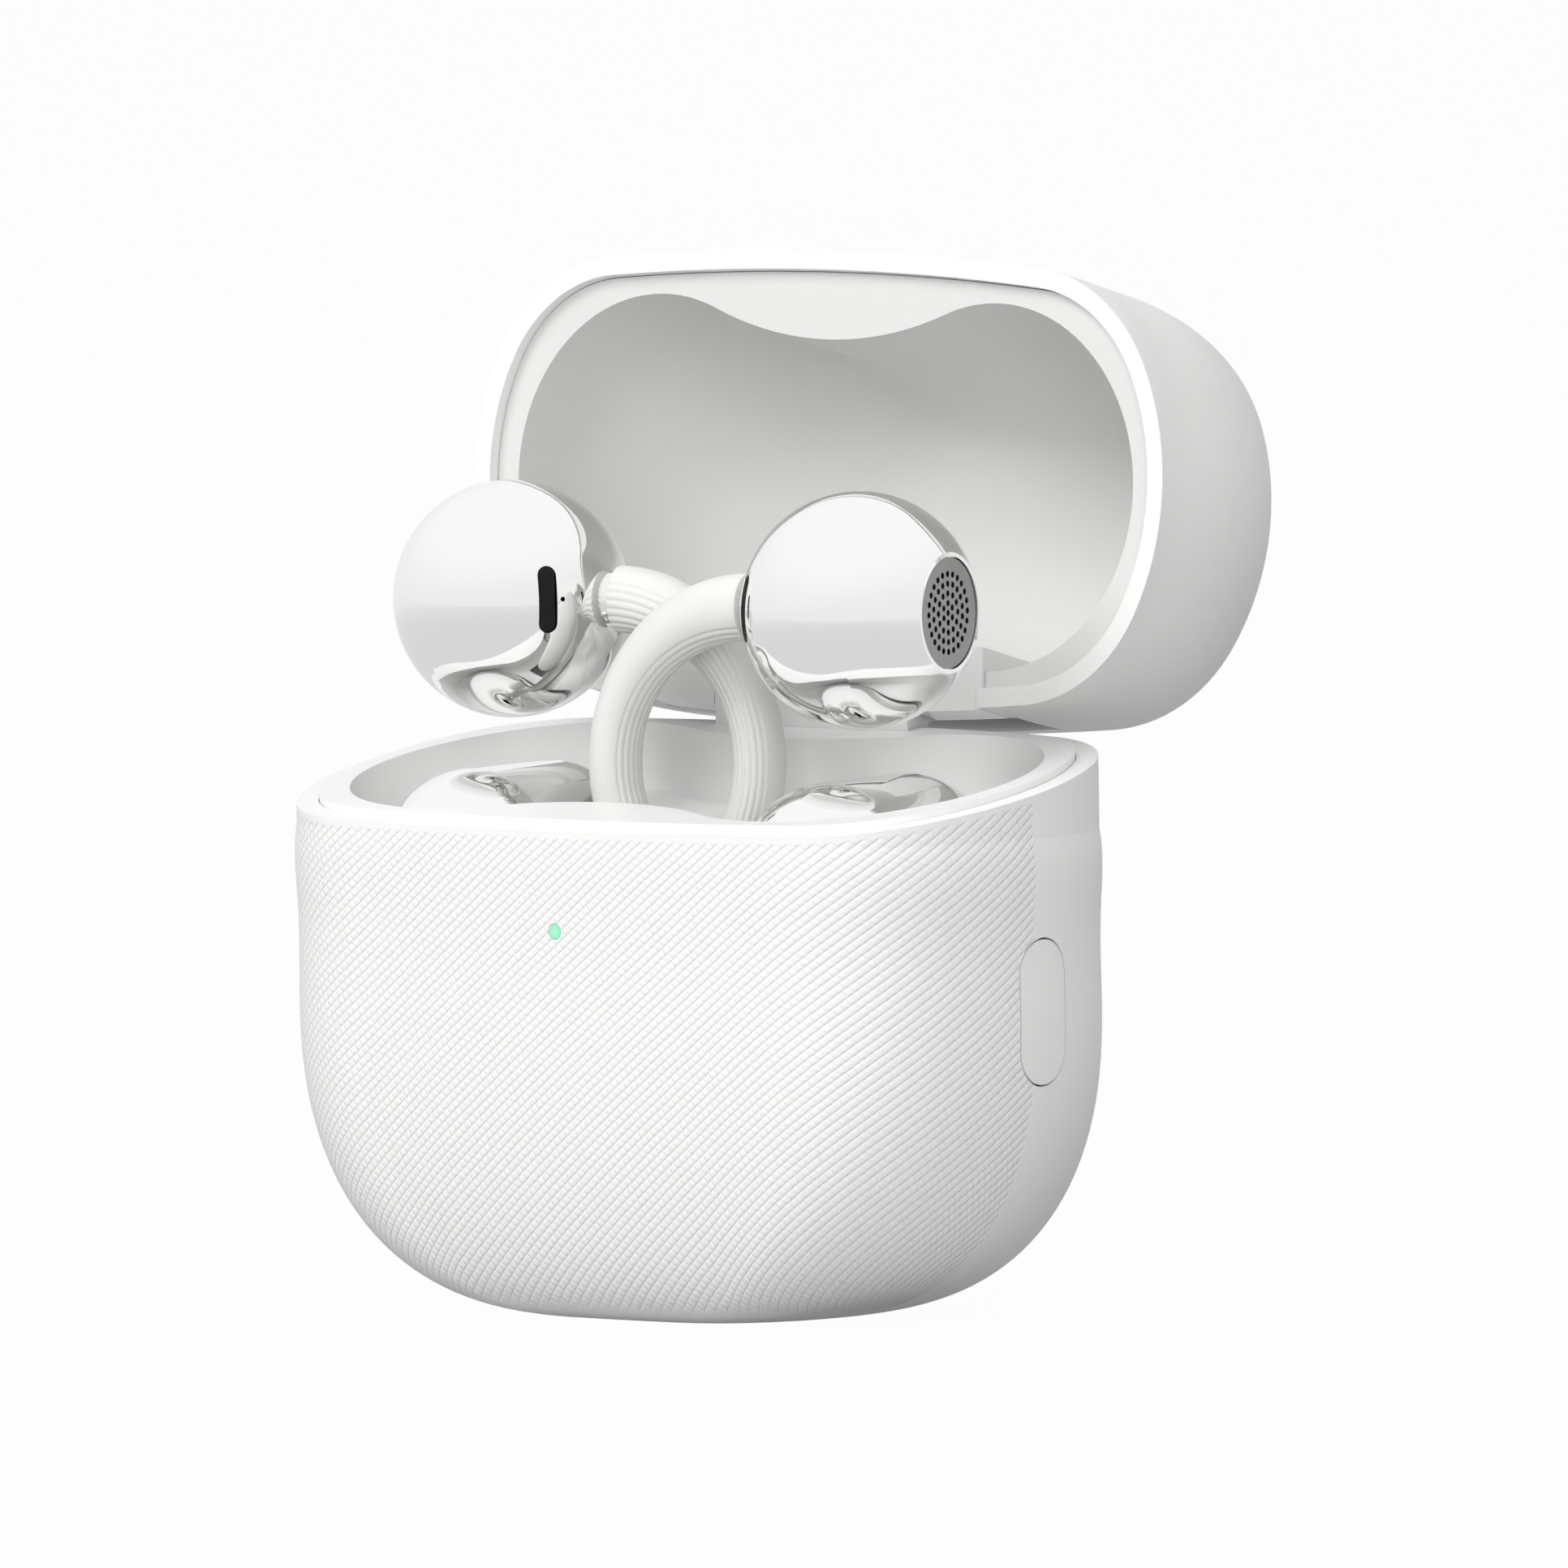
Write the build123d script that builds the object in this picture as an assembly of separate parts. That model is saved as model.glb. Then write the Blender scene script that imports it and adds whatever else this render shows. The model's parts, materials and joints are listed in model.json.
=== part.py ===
"""Wireless earbuds case with two clip-on earbuds, lid open.

Millimetres. The origin is the middle of the flat bottom face, +Z up, +X to the right
of someone facing the case, and +Y towards the hinge. The case is cut in two by a
sloping parting plane, lower at the front. The lid is drawn shut and then swung open.
"""

import os
from math import cos, hypot, radians, sin, sqrt, tan

from build123d import *

# Case, outside
CASE_WIDTH = 50.0
CASE_DEPTH = 25.75
BASE_HEIGHT = 30.3  # bottom face to parting plane, on the middle of the case
LID_HEIGHT = 19.3  # parting plane to top face, on the middle of the case
PARTING_TILT = 9.9  # degrees, the front edge lower than the back edge
PARTING_GAP = 0.15  # between the two rims when shut
END_SHAPE = 1.20  # radius of the oval's ends, per half depth
CORNER_SHAPE = 0.75  # radius of the oval's corners, per half depth
BROAD_SHAPE = 7.3  # radius of the oval's broad sides, per half width
BOWL_STEPS = 9  # sections in the rounding

# Flat end of each half, from the middle of the case, and how far the rounding rises from it
BASE_FLAT_SIDE = 7.3
BASE_FLAT_FRONT = 6.375
BASE_ROUND_RISE = 17.8
BASE_ROUND_POWER = 2.39
LID_FLAT_SIDE = 12.9
LID_FLAT_FRONT = 6.875
LID_FLAT_BACK = 2.375
LID_ROUND_RISE = 15.0
LID_ROUND_POWER = 2.0
LID_BACK_POWER = 3.0

# Walls
BASE_WALL = 1.25
LID_WALL = 1.1
FIT_GAP = 0.05  # round a piece that is glued or clipped in
MOVING_GAP = 0.2  # round a piece that moves past another

# Tray and lid liner
RING_WIDTH = 1.3  # flat ring between the wall and the hollow
RING_RISE = 0.4  # of the tray's ring above the base's rim
RING_THICKNESS = 1.6
BAND_DEPTH = 0.7  # of the liner's band below the lid's rim
BAND_THICKNESS = 1.0
TRAY_BUMPS = (2.8, 2.4)  # how far the tray's ring swells inwards at the middle, front and back
LID_BUMPS = (2.3, 2.0)  # the same for the lid's lining
CEILING_BUMP = 0.2  # what is left of both at the lid's ceiling
TRAY_WALL = 1.0
WELL_WALL = 0.9
LINER_WALL = 0.8
TRAY_FLOOR_DEPTH = 3.4  # of the shallow hollow over the wells, below the parting plane
WELL_GAP = 0.25  # round an earbud in its well

# Hinge
HINGE_FROM_BACK = 1.0  # axis to the back of the case
HINGE_ABOVE_PARTING = 1.83
LID_OPEN_ANGLE = 104.7
PIN_RADIUS = 0.5
PIN_RUNNING_GAP = 0.05
KNUCKLE_RADIUS = 1.45
KNUCKLE_HALF_WIDTH = 7.0
KNUCKLE_FRONT = 1.38  # front face of the block, from the axis
KNUCKLE_BACK = 0.9  # back face of the block, from the axis
WEB_SET_BACK = 0.4  # of the block's web from its back face
FOOT_DEPTH = 6.0  # of the block's foot below the parting plane
EAR_HALF_WIDTH = 12.2
EAR_FRONT = 2.9  # front face of the ears, from the axis
EAR_TOP = 4.9  # top face of the ears, from the axis
SWING_RADIUS = 1.68  # the lid's bottom back edge is rounded to this, to swing clear
PLATE_HALF_WIDTH = 12.8
PLATE_TOP = 5.5
SPRING_WIRE_RADIUS = 0.12
SPRING_COIL_RADIUS = 0.70
SPRING_PITCH = 0.36
SPRING_TURNS = 8

# Earbuds, both the same: a ball, a flexible bridge and a rounded bar
BUD_FROM_END = 12.33  # ball's axis to the end of the case
BUD_Y = -0.72
BUD_TURN = 9.0  # degrees about Z, so that the two bridges pass each other
BALL_RADIUS = 6.77
BALL_Z = 9.9  # centres are given from the parting plane
BALL_WALL = 0.6
BALL_SPLIT = 2.2  # seam of the two halves, towards the grille
GRILLE_RADIUS = 3.15
GRILLE_RIM = 0.28
GRILLE_RECESS = 0.12
GRILLE_THICKNESS = 0.3
GRILLE_HOLE_RADIUS = 0.18
GRILLE_PITCH = 0.55
GRILLE_RINGS = 4
SLOT_LENGTH = 3.8
SLOT_WIDTH = 1.1
SLOT_RAISE = 0.3  # of the slots and pinholes above the ball's middle
SLOT_TURN = 42.0
PINHOLE_RADIUS = 0.14
PINHOLE_TURN = 34.5
DRIVER_RADIUS = 5.0
DRIVER_THICKNESS = 3.4
BUD_BOARD_THICKNESS = 0.8
BRIDGE_RADIUS = 9.0  # midline of the bridge, a round arc
BRIDGE_X = -7.08  # centre of that arc, from the ball's axis
BRIDGE_Z = 0.98
BRIDGE_SECTION = (3.85, 3.6)  # at the neck: in the plane of the arc, and across it
BRIDGE_NARROW = (2.9, 3.4)  # the same past its taper
BRIDGE_TAPER = 80.0  # degrees of the arc
BRIDGE_SECTIONS = 16
BRIDGE_START = 0.5  # degrees past straight up, where the sleeve leaves the neck
BRIDGE_END = 225.0  # where the midline ends, inside the bar
WIRE_START = -15.0
WIRE_END = 204.0
NECK_SECTION = (3.2, 2.9)
WIRE_RADIUS = 0.45
BEAN_RADIUS = 5.2
BEAN_LENGTH = 18.8
BEAN_X = 0.3
BEAN_Z = -4.7
BEAN_WALL = 0.6
BUD_CELL_RADIUS = 3.4
BUD_CELL_LENGTH = 10.5
BUD_LIFT = 20.0

# Charging contacts
CONTACT_SPACING = 6.0
CONTACT_RADIUS = 0.9
CONTACT_THICKNESS = 0.3
PROBE_RADIUS = 0.7
PROBE_TRAVEL = 0.4
PROBE_GAP = 0.03
PROBE_LENGTH = 3.2
PROBE_BLOCK_WIDTH = 3.0
PROBE_BLOCK_FLOOR = 0.3

# Inside the base
SOCKET_WIDTH = 8.94
SOCKET_DEPTH = 3.16
SOCKET_HEIGHT = 6.3
SOCKET_WALL = 0.3
SOCKET_SET_BACK = 0.3
SOCKET_GAP = 0.15
TONGUE_WIDTH = 6.7
TONGUE_THICKNESS = 0.7
BOARD_WIDTH = 33.0
BOARD_DEPTH = 13.0
BOARD_THICKNESS = 1.0
SHIELD_WIDTH = 18.0
SHIELD_DEPTH = 9.0
SHIELD_HEIGHT = 1.6
CELL_WIDTH = 34.0
CELL_DEPTH = 15.0
CELL_GAP = 0.27  # to the probe blocks above it
CELL_CORNER = 1.5
CELL_EDGE = 1.0
CELL_TAPE = 0.1
FOAM_WIDTH = 16.0
FOAM_DEPTH = 9.0
COIL_WIDTH = 17.0
COIL_HEIGHT = 13.0
COIL_BAND = 3.5
COIL_THICKNESS = 0.7
COIL_FROM_WALL = 1.0
FERRITE_THICKNESS = 0.5
COIL_Z = 14.0
MAGNET_WIDTH = 8.0
MAGNET_DEPTH = 1.8
MAGNET_HEIGHT = 2.0
BUD_MAGNET_RADIUS = 1.8
BUD_MAGNET_HEIGHT = 1.4
BUD_MAGNET_Y = 7.3

# Status lamp and pairing button
LAMP_RADIUS = 0.425
LAMP_BELOW_RIM = 7.85
LAMP_BOARD_WIDTH = 5.0
LAMP_BOARD_HEIGHT = 2.6
LAMP_BOARD_THICKNESS = 0.6
BUTTON_BELOW_RIM = 12.4
BUTTON_WIDTH = 3.9
BUTTON_HEIGHT = 8.2
BUTTON_GAP = 0.12
BUTTON_LIP = 0.6
BUTTON_LIP_THICKNESS = 0.8
BUTTON_TRAVEL = 0.3
BUTTON_BOSS_RADIUS = 0.7
BUTTON_BOSS_LENGTH = 0.4
SWITCH_SIZE = 3.0
SWITCH_DEPTH = 1.6
BUTTON_BOARD_WIDTH = 6.4
BUTTON_BOARD_HEIGHT = 6.0
BUTTON_BOARD_THICKNESS = 0.8
RAIL_WIDTH = 0.9

HALF_WIDTH = CASE_WIDTH / 2
HALF_DEPTH = CASE_DEPTH / 2
HINGE_Y = HALF_DEPTH - HINGE_FROM_BACK
HINGE_Z = BASE_HEIGHT + HINGE_Y * tan(radians(PARTING_TILT)) + HINGE_ABOVE_PARTING
BIG = 4 * CASE_WIDTH
BUD_X = HALF_WIDTH - BUD_FROM_END
RING_INSET = BASE_WALL + FIT_GAP + RING_WIDTH
OVERSHOOT = 5.0  # of a cutting body past what it cuts
LAMP_Z = BASE_HEIGHT - LAMP_BELOW_RIM
BUTTON_Z = BASE_HEIGHT - BUTTON_BELOW_RIM
WELL_BOTTOM = BASE_HEIGHT + BEAN_Z - BEAN_RADIUS - WELL_GAP - TRAY_WALL
PROBE_BOTTOM = BEAN_Z - BEAN_RADIUS - PROBE_GAP - PROBE_LENGTH - PROBE_TRAVEL - 2 * FIT_GAP
PROBE_BLOCK_BOTTOM = PROBE_BOTTOM - PROBE_BLOCK_FLOOR
SOCKET_TOP = SOCKET_SET_BACK + SOCKET_HEIGHT
BOARD_TOP = SOCKET_TOP + BOARD_THICKNESS
CELL_BOTTOM = BOARD_TOP + SHIELD_HEIGHT + CELL_TAPE
CELL_TOP = BASE_HEIGHT + PROBE_BLOCK_BOTTOM - CELL_GAP
COIL_FRONT = HALF_DEPTH - BASE_WALL - COIL_FROM_WALL - COIL_THICKNESS
LIP_X = HALF_WIDTH - BASE_WALL - BUTTON_GAP - BUTTON_LIP_THICKNESS
BOARD_X = LIP_X - BUTTON_BOSS_LENGTH - BUTTON_TRAVEL - FIT_GAP - SWITCH_DEPTH - BUTTON_BOARD_THICKNESS
GRILLE_FACE = sqrt(BALL_RADIUS**2 - (GRILLE_RADIUS + GRILLE_RIM) ** 2)
DRIVER_FACE = sqrt((BALL_RADIUS - BALL_WALL) ** 2 - DRIVER_RADIUS**2)


def oval(half_width, half_depth, inset=0.0):
    """Face of eight arcs that meet smoothly, drawn inset from the stated half sizes."""
    end = END_SHAPE * half_depth
    corner = CORNER_SHAPE * half_depth
    broad = BROAD_SHAPE * half_width
    end_x = half_width - end
    broad_y = half_depth - broad
    apart = hypot(end_x, broad_y)
    along = (apart**2 + (end - corner) ** 2 - (broad - corner) ** 2) / (2 * apart)
    across = sqrt((end - corner) ** 2 - along**2)
    towards = Vector(-end_x, broad_y) / apart
    centre = Vector(end_x, 0) + towards * along + Vector(-towards.Y, towards.X) * across
    from_end = (centre - Vector(end_x, 0)).normalized()
    from_broad = (centre - Vector(0, broad_y)).normalized()
    reach = corner - inset
    first = centre + from_end * reach
    middle = centre + (from_end + from_broad).normalized() * reach
    last = centre + from_broad * reach
    tip = half_width - inset
    side = half_depth - inset
    arcs = []
    for sign in (1, -1):
        arcs.append(three_points((sign * first.X, -first.Y), (sign * tip, 0), (sign * first.X, first.Y)))
        arcs.append(three_points((-last.X, sign * last.Y), (0, sign * side), (last.X, sign * last.Y)))
        for hand in (1, -1):
            ends = [(hand * p.X, sign * p.Y) for p in (first, middle, last)]
            arcs.append(three_points(*ends))
    return make_face(arcs)


def three_points(start, middle, end):
    """Arc through three points of the XY plane."""
    return Edge.make_three_point_arc(Vector(*start), Vector(*middle), Vector(*end))


def case_prism(inset, low, high):
    """The case's outline, inset, pulled up from one height to another."""
    return extrude(Pos(0, 0, low) * oval(HALF_WIDTH, HALF_DEPTH, inset), high - low)


def bowl(height, side, front, back, rise, power, back_power, inset=0.0):
    """Body with a flat end near Z = 0 and walls that round up from it and rise straight."""
    sections = []
    for step in range(BOWL_STEPS + 1):
        angle = radians(90 * step / BOWL_STEPS)
        out = sin(angle) ** (2 / power)
        up = 1 - abs(cos(angle)) ** (2 / power)
        back_out = (1 - (1 - up) ** back_power) ** (1 / back_power)
        front_depth = HALF_DEPTH - (HALF_DEPTH - front) * (1 - out)
        back_depth = HALF_DEPTH - (HALF_DEPTH - back) * (1 - back_out)
        half_width = HALF_WIDTH - (HALF_WIDTH - side) * (1 - out)
        face = oval(half_width, (front_depth + back_depth) / 2, inset * out)
        level = inset + (rise - inset) * up
        sections.append(Pos(0, (back_depth - front_depth) / 2, level) * face)
    straight = (height - rise) / 4
    for extra in (1, 2):
        sections.append(Pos(0, 0, rise + extra * straight) * oval(HALF_WIDTH, HALF_DEPTH, inset))
    walls = case_prism(inset, rise + 2 * straight, height)
    return (loft(sections) + walls) & Pos(0, 0, inset + height / 2) * Box(BIG, BIG, height)


def base_body(inset=0.0):
    """Outside of the base, or its inside when inset, open past the parting plane."""
    top = BASE_HEIGHT + HALF_DEPTH * tan(radians(PARTING_TILT)) + OVERSHOOT
    flat = (BASE_FLAT_SIDE, BASE_FLAT_FRONT, BASE_FLAT_FRONT)
    return bowl(top, *flat, BASE_ROUND_RISE, BASE_ROUND_POWER, BASE_ROUND_POWER, inset)


def turned_over(shape):
    """Put a shape drawn from the lid's top face, upside down, where the shut lid is."""
    return Pos(0, 0, BASE_HEIGHT + LID_HEIGHT) * mirror(shape, Plane.XY)


def lid_body(inset=0.0):
    """Outside of the shut lid, or its inside when inset, open past the parting plane."""
    top = LID_HEIGHT + HALF_DEPTH * tan(radians(PARTING_TILT)) + OVERSHOOT
    flat = (LID_FLAT_SIDE, LID_FLAT_FRONT, LID_FLAT_BACK)
    return turned_over(bowl(top, *flat, LID_ROUND_RISE, LID_ROUND_POWER, LID_BACK_POWER, inset))


def slab(low, high):
    """Everything between two heights above the parting plane, square to it."""
    tilted = Pos(0, 0, BASE_HEIGHT) * Rot(X=PARTING_TILT)
    return tilted * Pos(0, 0, (low + high) / 2) * Box(BIG, BIG, high - low)


def box_between(low, high):
    """Box from its lowest corner to its highest corner."""
    size = [b - a for a, b in zip(low, high)]
    middle = [(a + b) / 2 for a, b in zip(low, high)]
    return Pos(*middle) * Box(*size)


def capsule(radius, length, inset=0.0):
    """Round-ended bar along Y, on the origin."""
    reach = radius - inset
    outline = SlotOverall(length - 2 * inset, 2 * reach, rotation=90)
    return revolve(outline & Pos(reach, 0) * Rectangle(2 * reach, 2 * length), Axis.Y)


def stadium_bar(width, height, length):
    """Bar along X with a round-ended section, tall along Z, starting at X = 0."""
    face = Plane.YZ * SlotOverall(height, width, rotation=90)
    return extrude(face, length)


def lobed(half_width, half_depth, front_bump, back_bump):
    """Face of two round lobes side by side, swollen inwards between them at front and back."""
    apart = half_width - half_depth
    joints = []
    sides = []
    for sign, bump in ((-1, front_bump), (1, back_bump)):
        joint = Vector(apart, sign * half_depth)
        if bump > 0:
            radius = (apart**2 + (half_depth - bump) ** 2 - half_depth**2) / (2 * bump)
            share = half_depth / (half_depth + radius)
            joint = Vector(apart * (1 - share), sign * (half_depth - bump + radius) * share)
            waist = (0, sign * (half_depth - bump))
            sides.append(three_points((-joint.X, joint.Y), waist, (joint.X, joint.Y)))
        else:
            sides.append(Edge.make_line((-joint.X, joint.Y), (joint.X, joint.Y)))
        joints.append(joint)
    front, back = joints
    for hand in (1, -1):
        ends = ((hand * front.X, front.Y), (hand * half_width, 0), (hand * back.X, back.Y))
        sides.append(three_points(*ends))
    return make_face(sides)


def hollow_outline(margin):
    """Outline of the tray's hollow inside the ring, grown by a margin."""
    inset = RING_INSET - margin
    return lobed(HALF_WIDTH - inset, HALF_DEPTH - inset, *TRAY_BUMPS)


def lining_hollow(margin):
    """Smooth hollow of the lid's lining, grown by a margin: lobed at the rim, flat on top."""
    wall = LID_WALL + 2 * FIT_GAP + LINER_WALL - margin
    ring = RING_INSET - margin
    sections = []
    for step in range(BOWL_STEPS + 1):
        angle = radians(90 * step / BOWL_STEPS)
        out = sin(angle) ** (2 / LID_ROUND_POWER)
        up = 1 - abs(cos(angle)) ** (2 / LID_ROUND_POWER)
        inset = wall + (ring - wall) * up
        front = LID_FLAT_FRONT + (HALF_DEPTH - LID_FLAT_FRONT) * out - inset
        back_out = (1 - (1 - up) ** LID_BACK_POWER) ** (1 / LID_BACK_POWER)
        back = LID_FLAT_BACK + (HALF_DEPTH - LID_FLAT_BACK) * back_out - inset
        side = LID_FLAT_SIDE + (HALF_WIDTH - LID_FLAT_SIDE) * out - inset
        bumps = [CEILING_BUMP + (bump - CEILING_BUMP) * out for bump in LID_BUMPS]
        level = wall + (LID_ROUND_RISE - wall) * up
        sections.append(Pos(0, (back - front) / 2, level) * lobed(side, (front + back) / 2, *bumps))
    rim = Pos(0, 0, LID_ROUND_RISE) * lobed(HALF_WIDTH - ring, HALF_DEPTH - ring, *LID_BUMPS)
    return turned_over(loft(sections) + extrude(rim, LID_HEIGHT))


def placed_bud(shape, side):
    """Put a bud's piece in the case: side is 1 on the right and -1 on the left."""
    turn = BUD_TURN if side > 0 else 180 + BUD_TURN
    return Pos(side * BUD_X, BUD_Y, BASE_HEIGHT) * Rot(Z=turn) * shape


def bean_at(shape):
    """Move a shape from the origin to the middle of the bud's bar."""
    return Pos(BEAN_X, 0, BEAN_Z) * shape


def arc_place(angle):
    """Place in the bridge's section plane, the angle counted from straight up towards -X."""
    return Pos(BRIDGE_X, 0, BRIDGE_Z) * Rot(Y=-90 - angle) * Pos(BRIDGE_RADIUS, 0)


def arc_bar(wide, thick, start, end):
    """Bar of even oval section along the bridge's midline."""
    bar = revolve(Pos(BRIDGE_RADIUS, 0) * Ellipse(wide / 2, thick / 2), Axis.Y, end - start)
    return Pos(BRIDGE_X, 0, BRIDGE_Z) * Rot(Y=-90 - end) * bar


def tapered_bar():
    """Bar along the bridge's midline that narrows from the neck and then stays even."""
    sections = []
    for step in range(BRIDGE_SECTIONS + 1):
        angle = BRIDGE_START + (BRIDGE_END - BRIDGE_START) * step / BRIDGE_SECTIONS
        along = min(1.0, (angle - BRIDGE_START) / BRIDGE_TAPER)
        eased = along * along * (3 - 2 * along)
        wide, thick = (a + (b - a) * eased for a, b in zip(BRIDGE_SECTION, BRIDGE_NARROW))
        sections.append(arc_place(angle) * Ellipse(wide / 2, thick / 2))
    return loft(sections)


def bud_well(gap):
    """Space that the bud's bar and the low part of its bridge take when lifted out."""
    lower = Pos(0, 0, -BIG / 2) * Box(BIG, BIG, BIG)
    bar = bean_at(capsule(BEAN_RADIUS + gap, BEAN_LENGTH + 2 * gap) & lower)
    plan = SlotOverall(BEAN_LENGTH + 2 * gap, 2 * (BEAN_RADIUS + gap), rotation=90)
    way_out = extrude(Pos(BEAN_X, 0, BEAN_Z) * plan, BUD_LIFT)
    wide, thick = BRIDGE_NARROW
    low = BRIDGE_Z - BRIDGE_RADIUS - wide / 2 - gap
    reach = BRIDGE_X - BRIDGE_RADIUS - wide / 2 - gap
    half = thick / 2 + gap
    trough = box_between((reach, -half, low), (BEAN_X, half, BUD_LIFT))
    return bar + way_out + trough


def swing_clearance(radius):
    """What the lid may not fill below and behind the hinge axis, to swing clear."""
    corner = box_between((-BIG, HINGE_Y, HINGE_Z - 5), (BIG, HINGE_Y + 5, HINGE_Z))
    return corner - Pos(0, HINGE_Y, HINGE_Z) * Rot(Y=90) * Cylinder(radius, 3 * BIG)


def hinge_rod(radius, length):
    """Round bar on the hinge axis."""
    return Pos(0, HINGE_Y, HINGE_Z) * Rot(Y=90) * Cylinder(radius, length)


def opened(shape):
    """Swing a piece of the shut lid to where the lid rests open."""
    axis = Pos(0, HINGE_Y, HINGE_Z)
    return axis * Rot(X=-LID_OPEN_ANGLE) * axis.inverse() * shape


def charging_tray():
    """Tray: a ring on the rim, a shallow hollow and a well for each earbud."""
    inside = case_prism(BASE_WALL + FIT_GAP, 0, BIG)
    ring = inside & slab(-RING_THICKNESS, RING_RISE)
    cup = extrude(hollow_outline(TRAY_WALL), BIG) & slab(-TRAY_FLOOR_DEPTH - TRAY_WALL, 0)
    body = ring + cup
    for side in (1, -1):
        body += placed_bud(bud_well(WELL_GAP + WELL_WALL), side) & inside & slab(-BIG / 2, -TRAY_WALL)
    body -= extrude(hollow_outline(0), BIG) & slab(-TRAY_FLOOR_DEPTH, BIG)
    for side in (1, -1):
        body -= placed_bud(bud_well(WELL_GAP), side)
        body -= placed_bud(probes(PROBE_RADIUS + PIN_RUNNING_GAP), side)
    block = KNUCKLE_HALF_WIDTH + FIT_GAP
    return body - box_between((-block, HINGE_Y - KNUCKLE_FRONT - FIT_GAP, 0), (block, HALF_DEPTH, BIG))


def probes(radius):
    """The two spring probes under one bud."""
    top = BEAN_Z - BEAN_RADIUS - PROBE_GAP
    pins = Pos(BEAN_X, CONTACT_SPACING / 2, top - PROBE_LENGTH / 2) * Cylinder(radius, PROBE_LENGTH)
    return pins + Pos(BEAN_X, -CONTACT_SPACING / 2, top - PROBE_LENGTH / 2) * Cylinder(radius, PROBE_LENGTH)


# Base pieces


def base_shell():
    """Outer shell of the base, with its lamp, button and socket holes."""
    shell = (base_body() - base_body(BASE_WALL)) & slab(-BIG / 2, 0)
    for side in (1, -1):
        shell += button_rail(side) & base_body(BASE_WALL / 2)
    shell -= Pos(0, -HALF_DEPTH, LAMP_Z) * Rot(X=90) * Cylinder(LAMP_RADIUS + FIT_GAP, HALF_DEPTH)
    gap = 2 * BUTTON_GAP
    button_hole = stadium_bar(BUTTON_WIDTH + gap, BUTTON_HEIGHT + gap, 4 * BASE_WALL)
    shell -= Pos(HALF_WIDTH - 2 * BASE_WALL, 0, BUTTON_Z) * button_hole
    gap = 2 * SOCKET_GAP
    socket_plan = SlotOverall(SOCKET_WIDTH + gap, SOCKET_DEPTH + gap)
    shell -= extrude(Pos(0, 0, -BASE_WALL) * socket_plan, 4 * BASE_WALL)
    return shell


def button_rail(side):
    """Rib inside the base's end wall that carries the button's board."""
    edge = BUTTON_BOARD_WIDTH / 2
    low = (BOARD_X, edge, BUTTON_Z - BUTTON_BOARD_HEIGHT / 2)
    high = (HALF_WIDTH, edge + RAIL_WIDTH, BUTTON_Z + BUTTON_BOARD_HEIGHT / 2)
    rail = box_between(low, high)
    return rail if side > 0 else mirror(rail, Plane.XZ)


def hinge_block():
    """White block on the base that the lid's ears turn about."""
    width = 2 * KNUCKLE_HALF_WIDTH
    back = HINGE_Y + KNUCKLE_BACK
    front = HINGE_Y - KNUCKLE_FRONT
    knuckle = hinge_rod(KNUCKLE_RADIUS, width)
    web_foot = (-width / 2, front, HINGE_Z - 2 * HINGE_ABOVE_PARTING)
    web = box_between(web_foot, (width / 2, back - WEB_SET_BACK, HINGE_Z))
    body = (knuckle + web) & slab(FIT_GAP, BIG)
    body &= box_between((-width, front, 0), (width, back, BIG))
    foot = box_between((-width / 2, front, BASE_HEIGHT - FOOT_DEPTH), (width / 2, HALF_DEPTH, BIG))
    foot = foot & case_prism(BASE_WALL + FIT_GAP, 0, BIG) & slab(-FOOT_DEPTH, FIT_GAP)
    body += foot
    body -= hinge_rod(PIN_RADIUS + PIN_RUNNING_GAP, BIG)
    return body - hinge_rod(SPRING_COIL_RADIUS + 2 * SPRING_WIRE_RADIUS, SPRING_PITCH * (SPRING_TURNS + 2))


def hinge_spring():
    """Fine coil spring round the pin, in the middle of the hinge block."""
    length = SPRING_PITCH * SPRING_TURNS
    path = Helix(SPRING_PITCH, length, SPRING_COIL_RADIUS)
    coil = sweep(Plane(path @ 0, z_dir=path % 0) * Circle(SPRING_WIRE_RADIUS), path, is_frenet=True)
    return Pos(0, HINGE_Y, HINGE_Z) * Rot(Y=90) * Pos(0, 0, -length / 2) * coil


def status_lamp():
    """Clear light guide that shows the lamp through the front wall."""
    inner = HALF_DEPTH - BASE_WALL - FIT_GAP
    rod = Rot(X=90) * Cylinder(LAMP_RADIUS, HALF_DEPTH - inner)
    return (Pos(0, -(HALF_DEPTH + inner) / 2, LAMP_Z) * rod) & base_body()


def lamp_board():
    """Small circuit board and lamp behind the light guide."""
    front = HALF_DEPTH - BASE_WALL - 2 * FIT_GAP
    low = (-LAMP_BOARD_WIDTH / 2, LAMP_BOARD_THICKNESS - front, LAMP_Z - LAMP_BOARD_HEIGHT / 2)
    high = (LAMP_BOARD_WIDTH / 2, -front + 2 * LAMP_BOARD_THICKNESS, LAMP_Z + LAMP_BOARD_HEIGHT / 2)
    chip = box_between((-LAMP_RADIUS, -front, LAMP_Z - LAMP_RADIUS), (LAMP_RADIUS, low[1], LAMP_Z + LAMP_RADIUS))
    return box_between(low, high) + chip


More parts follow.
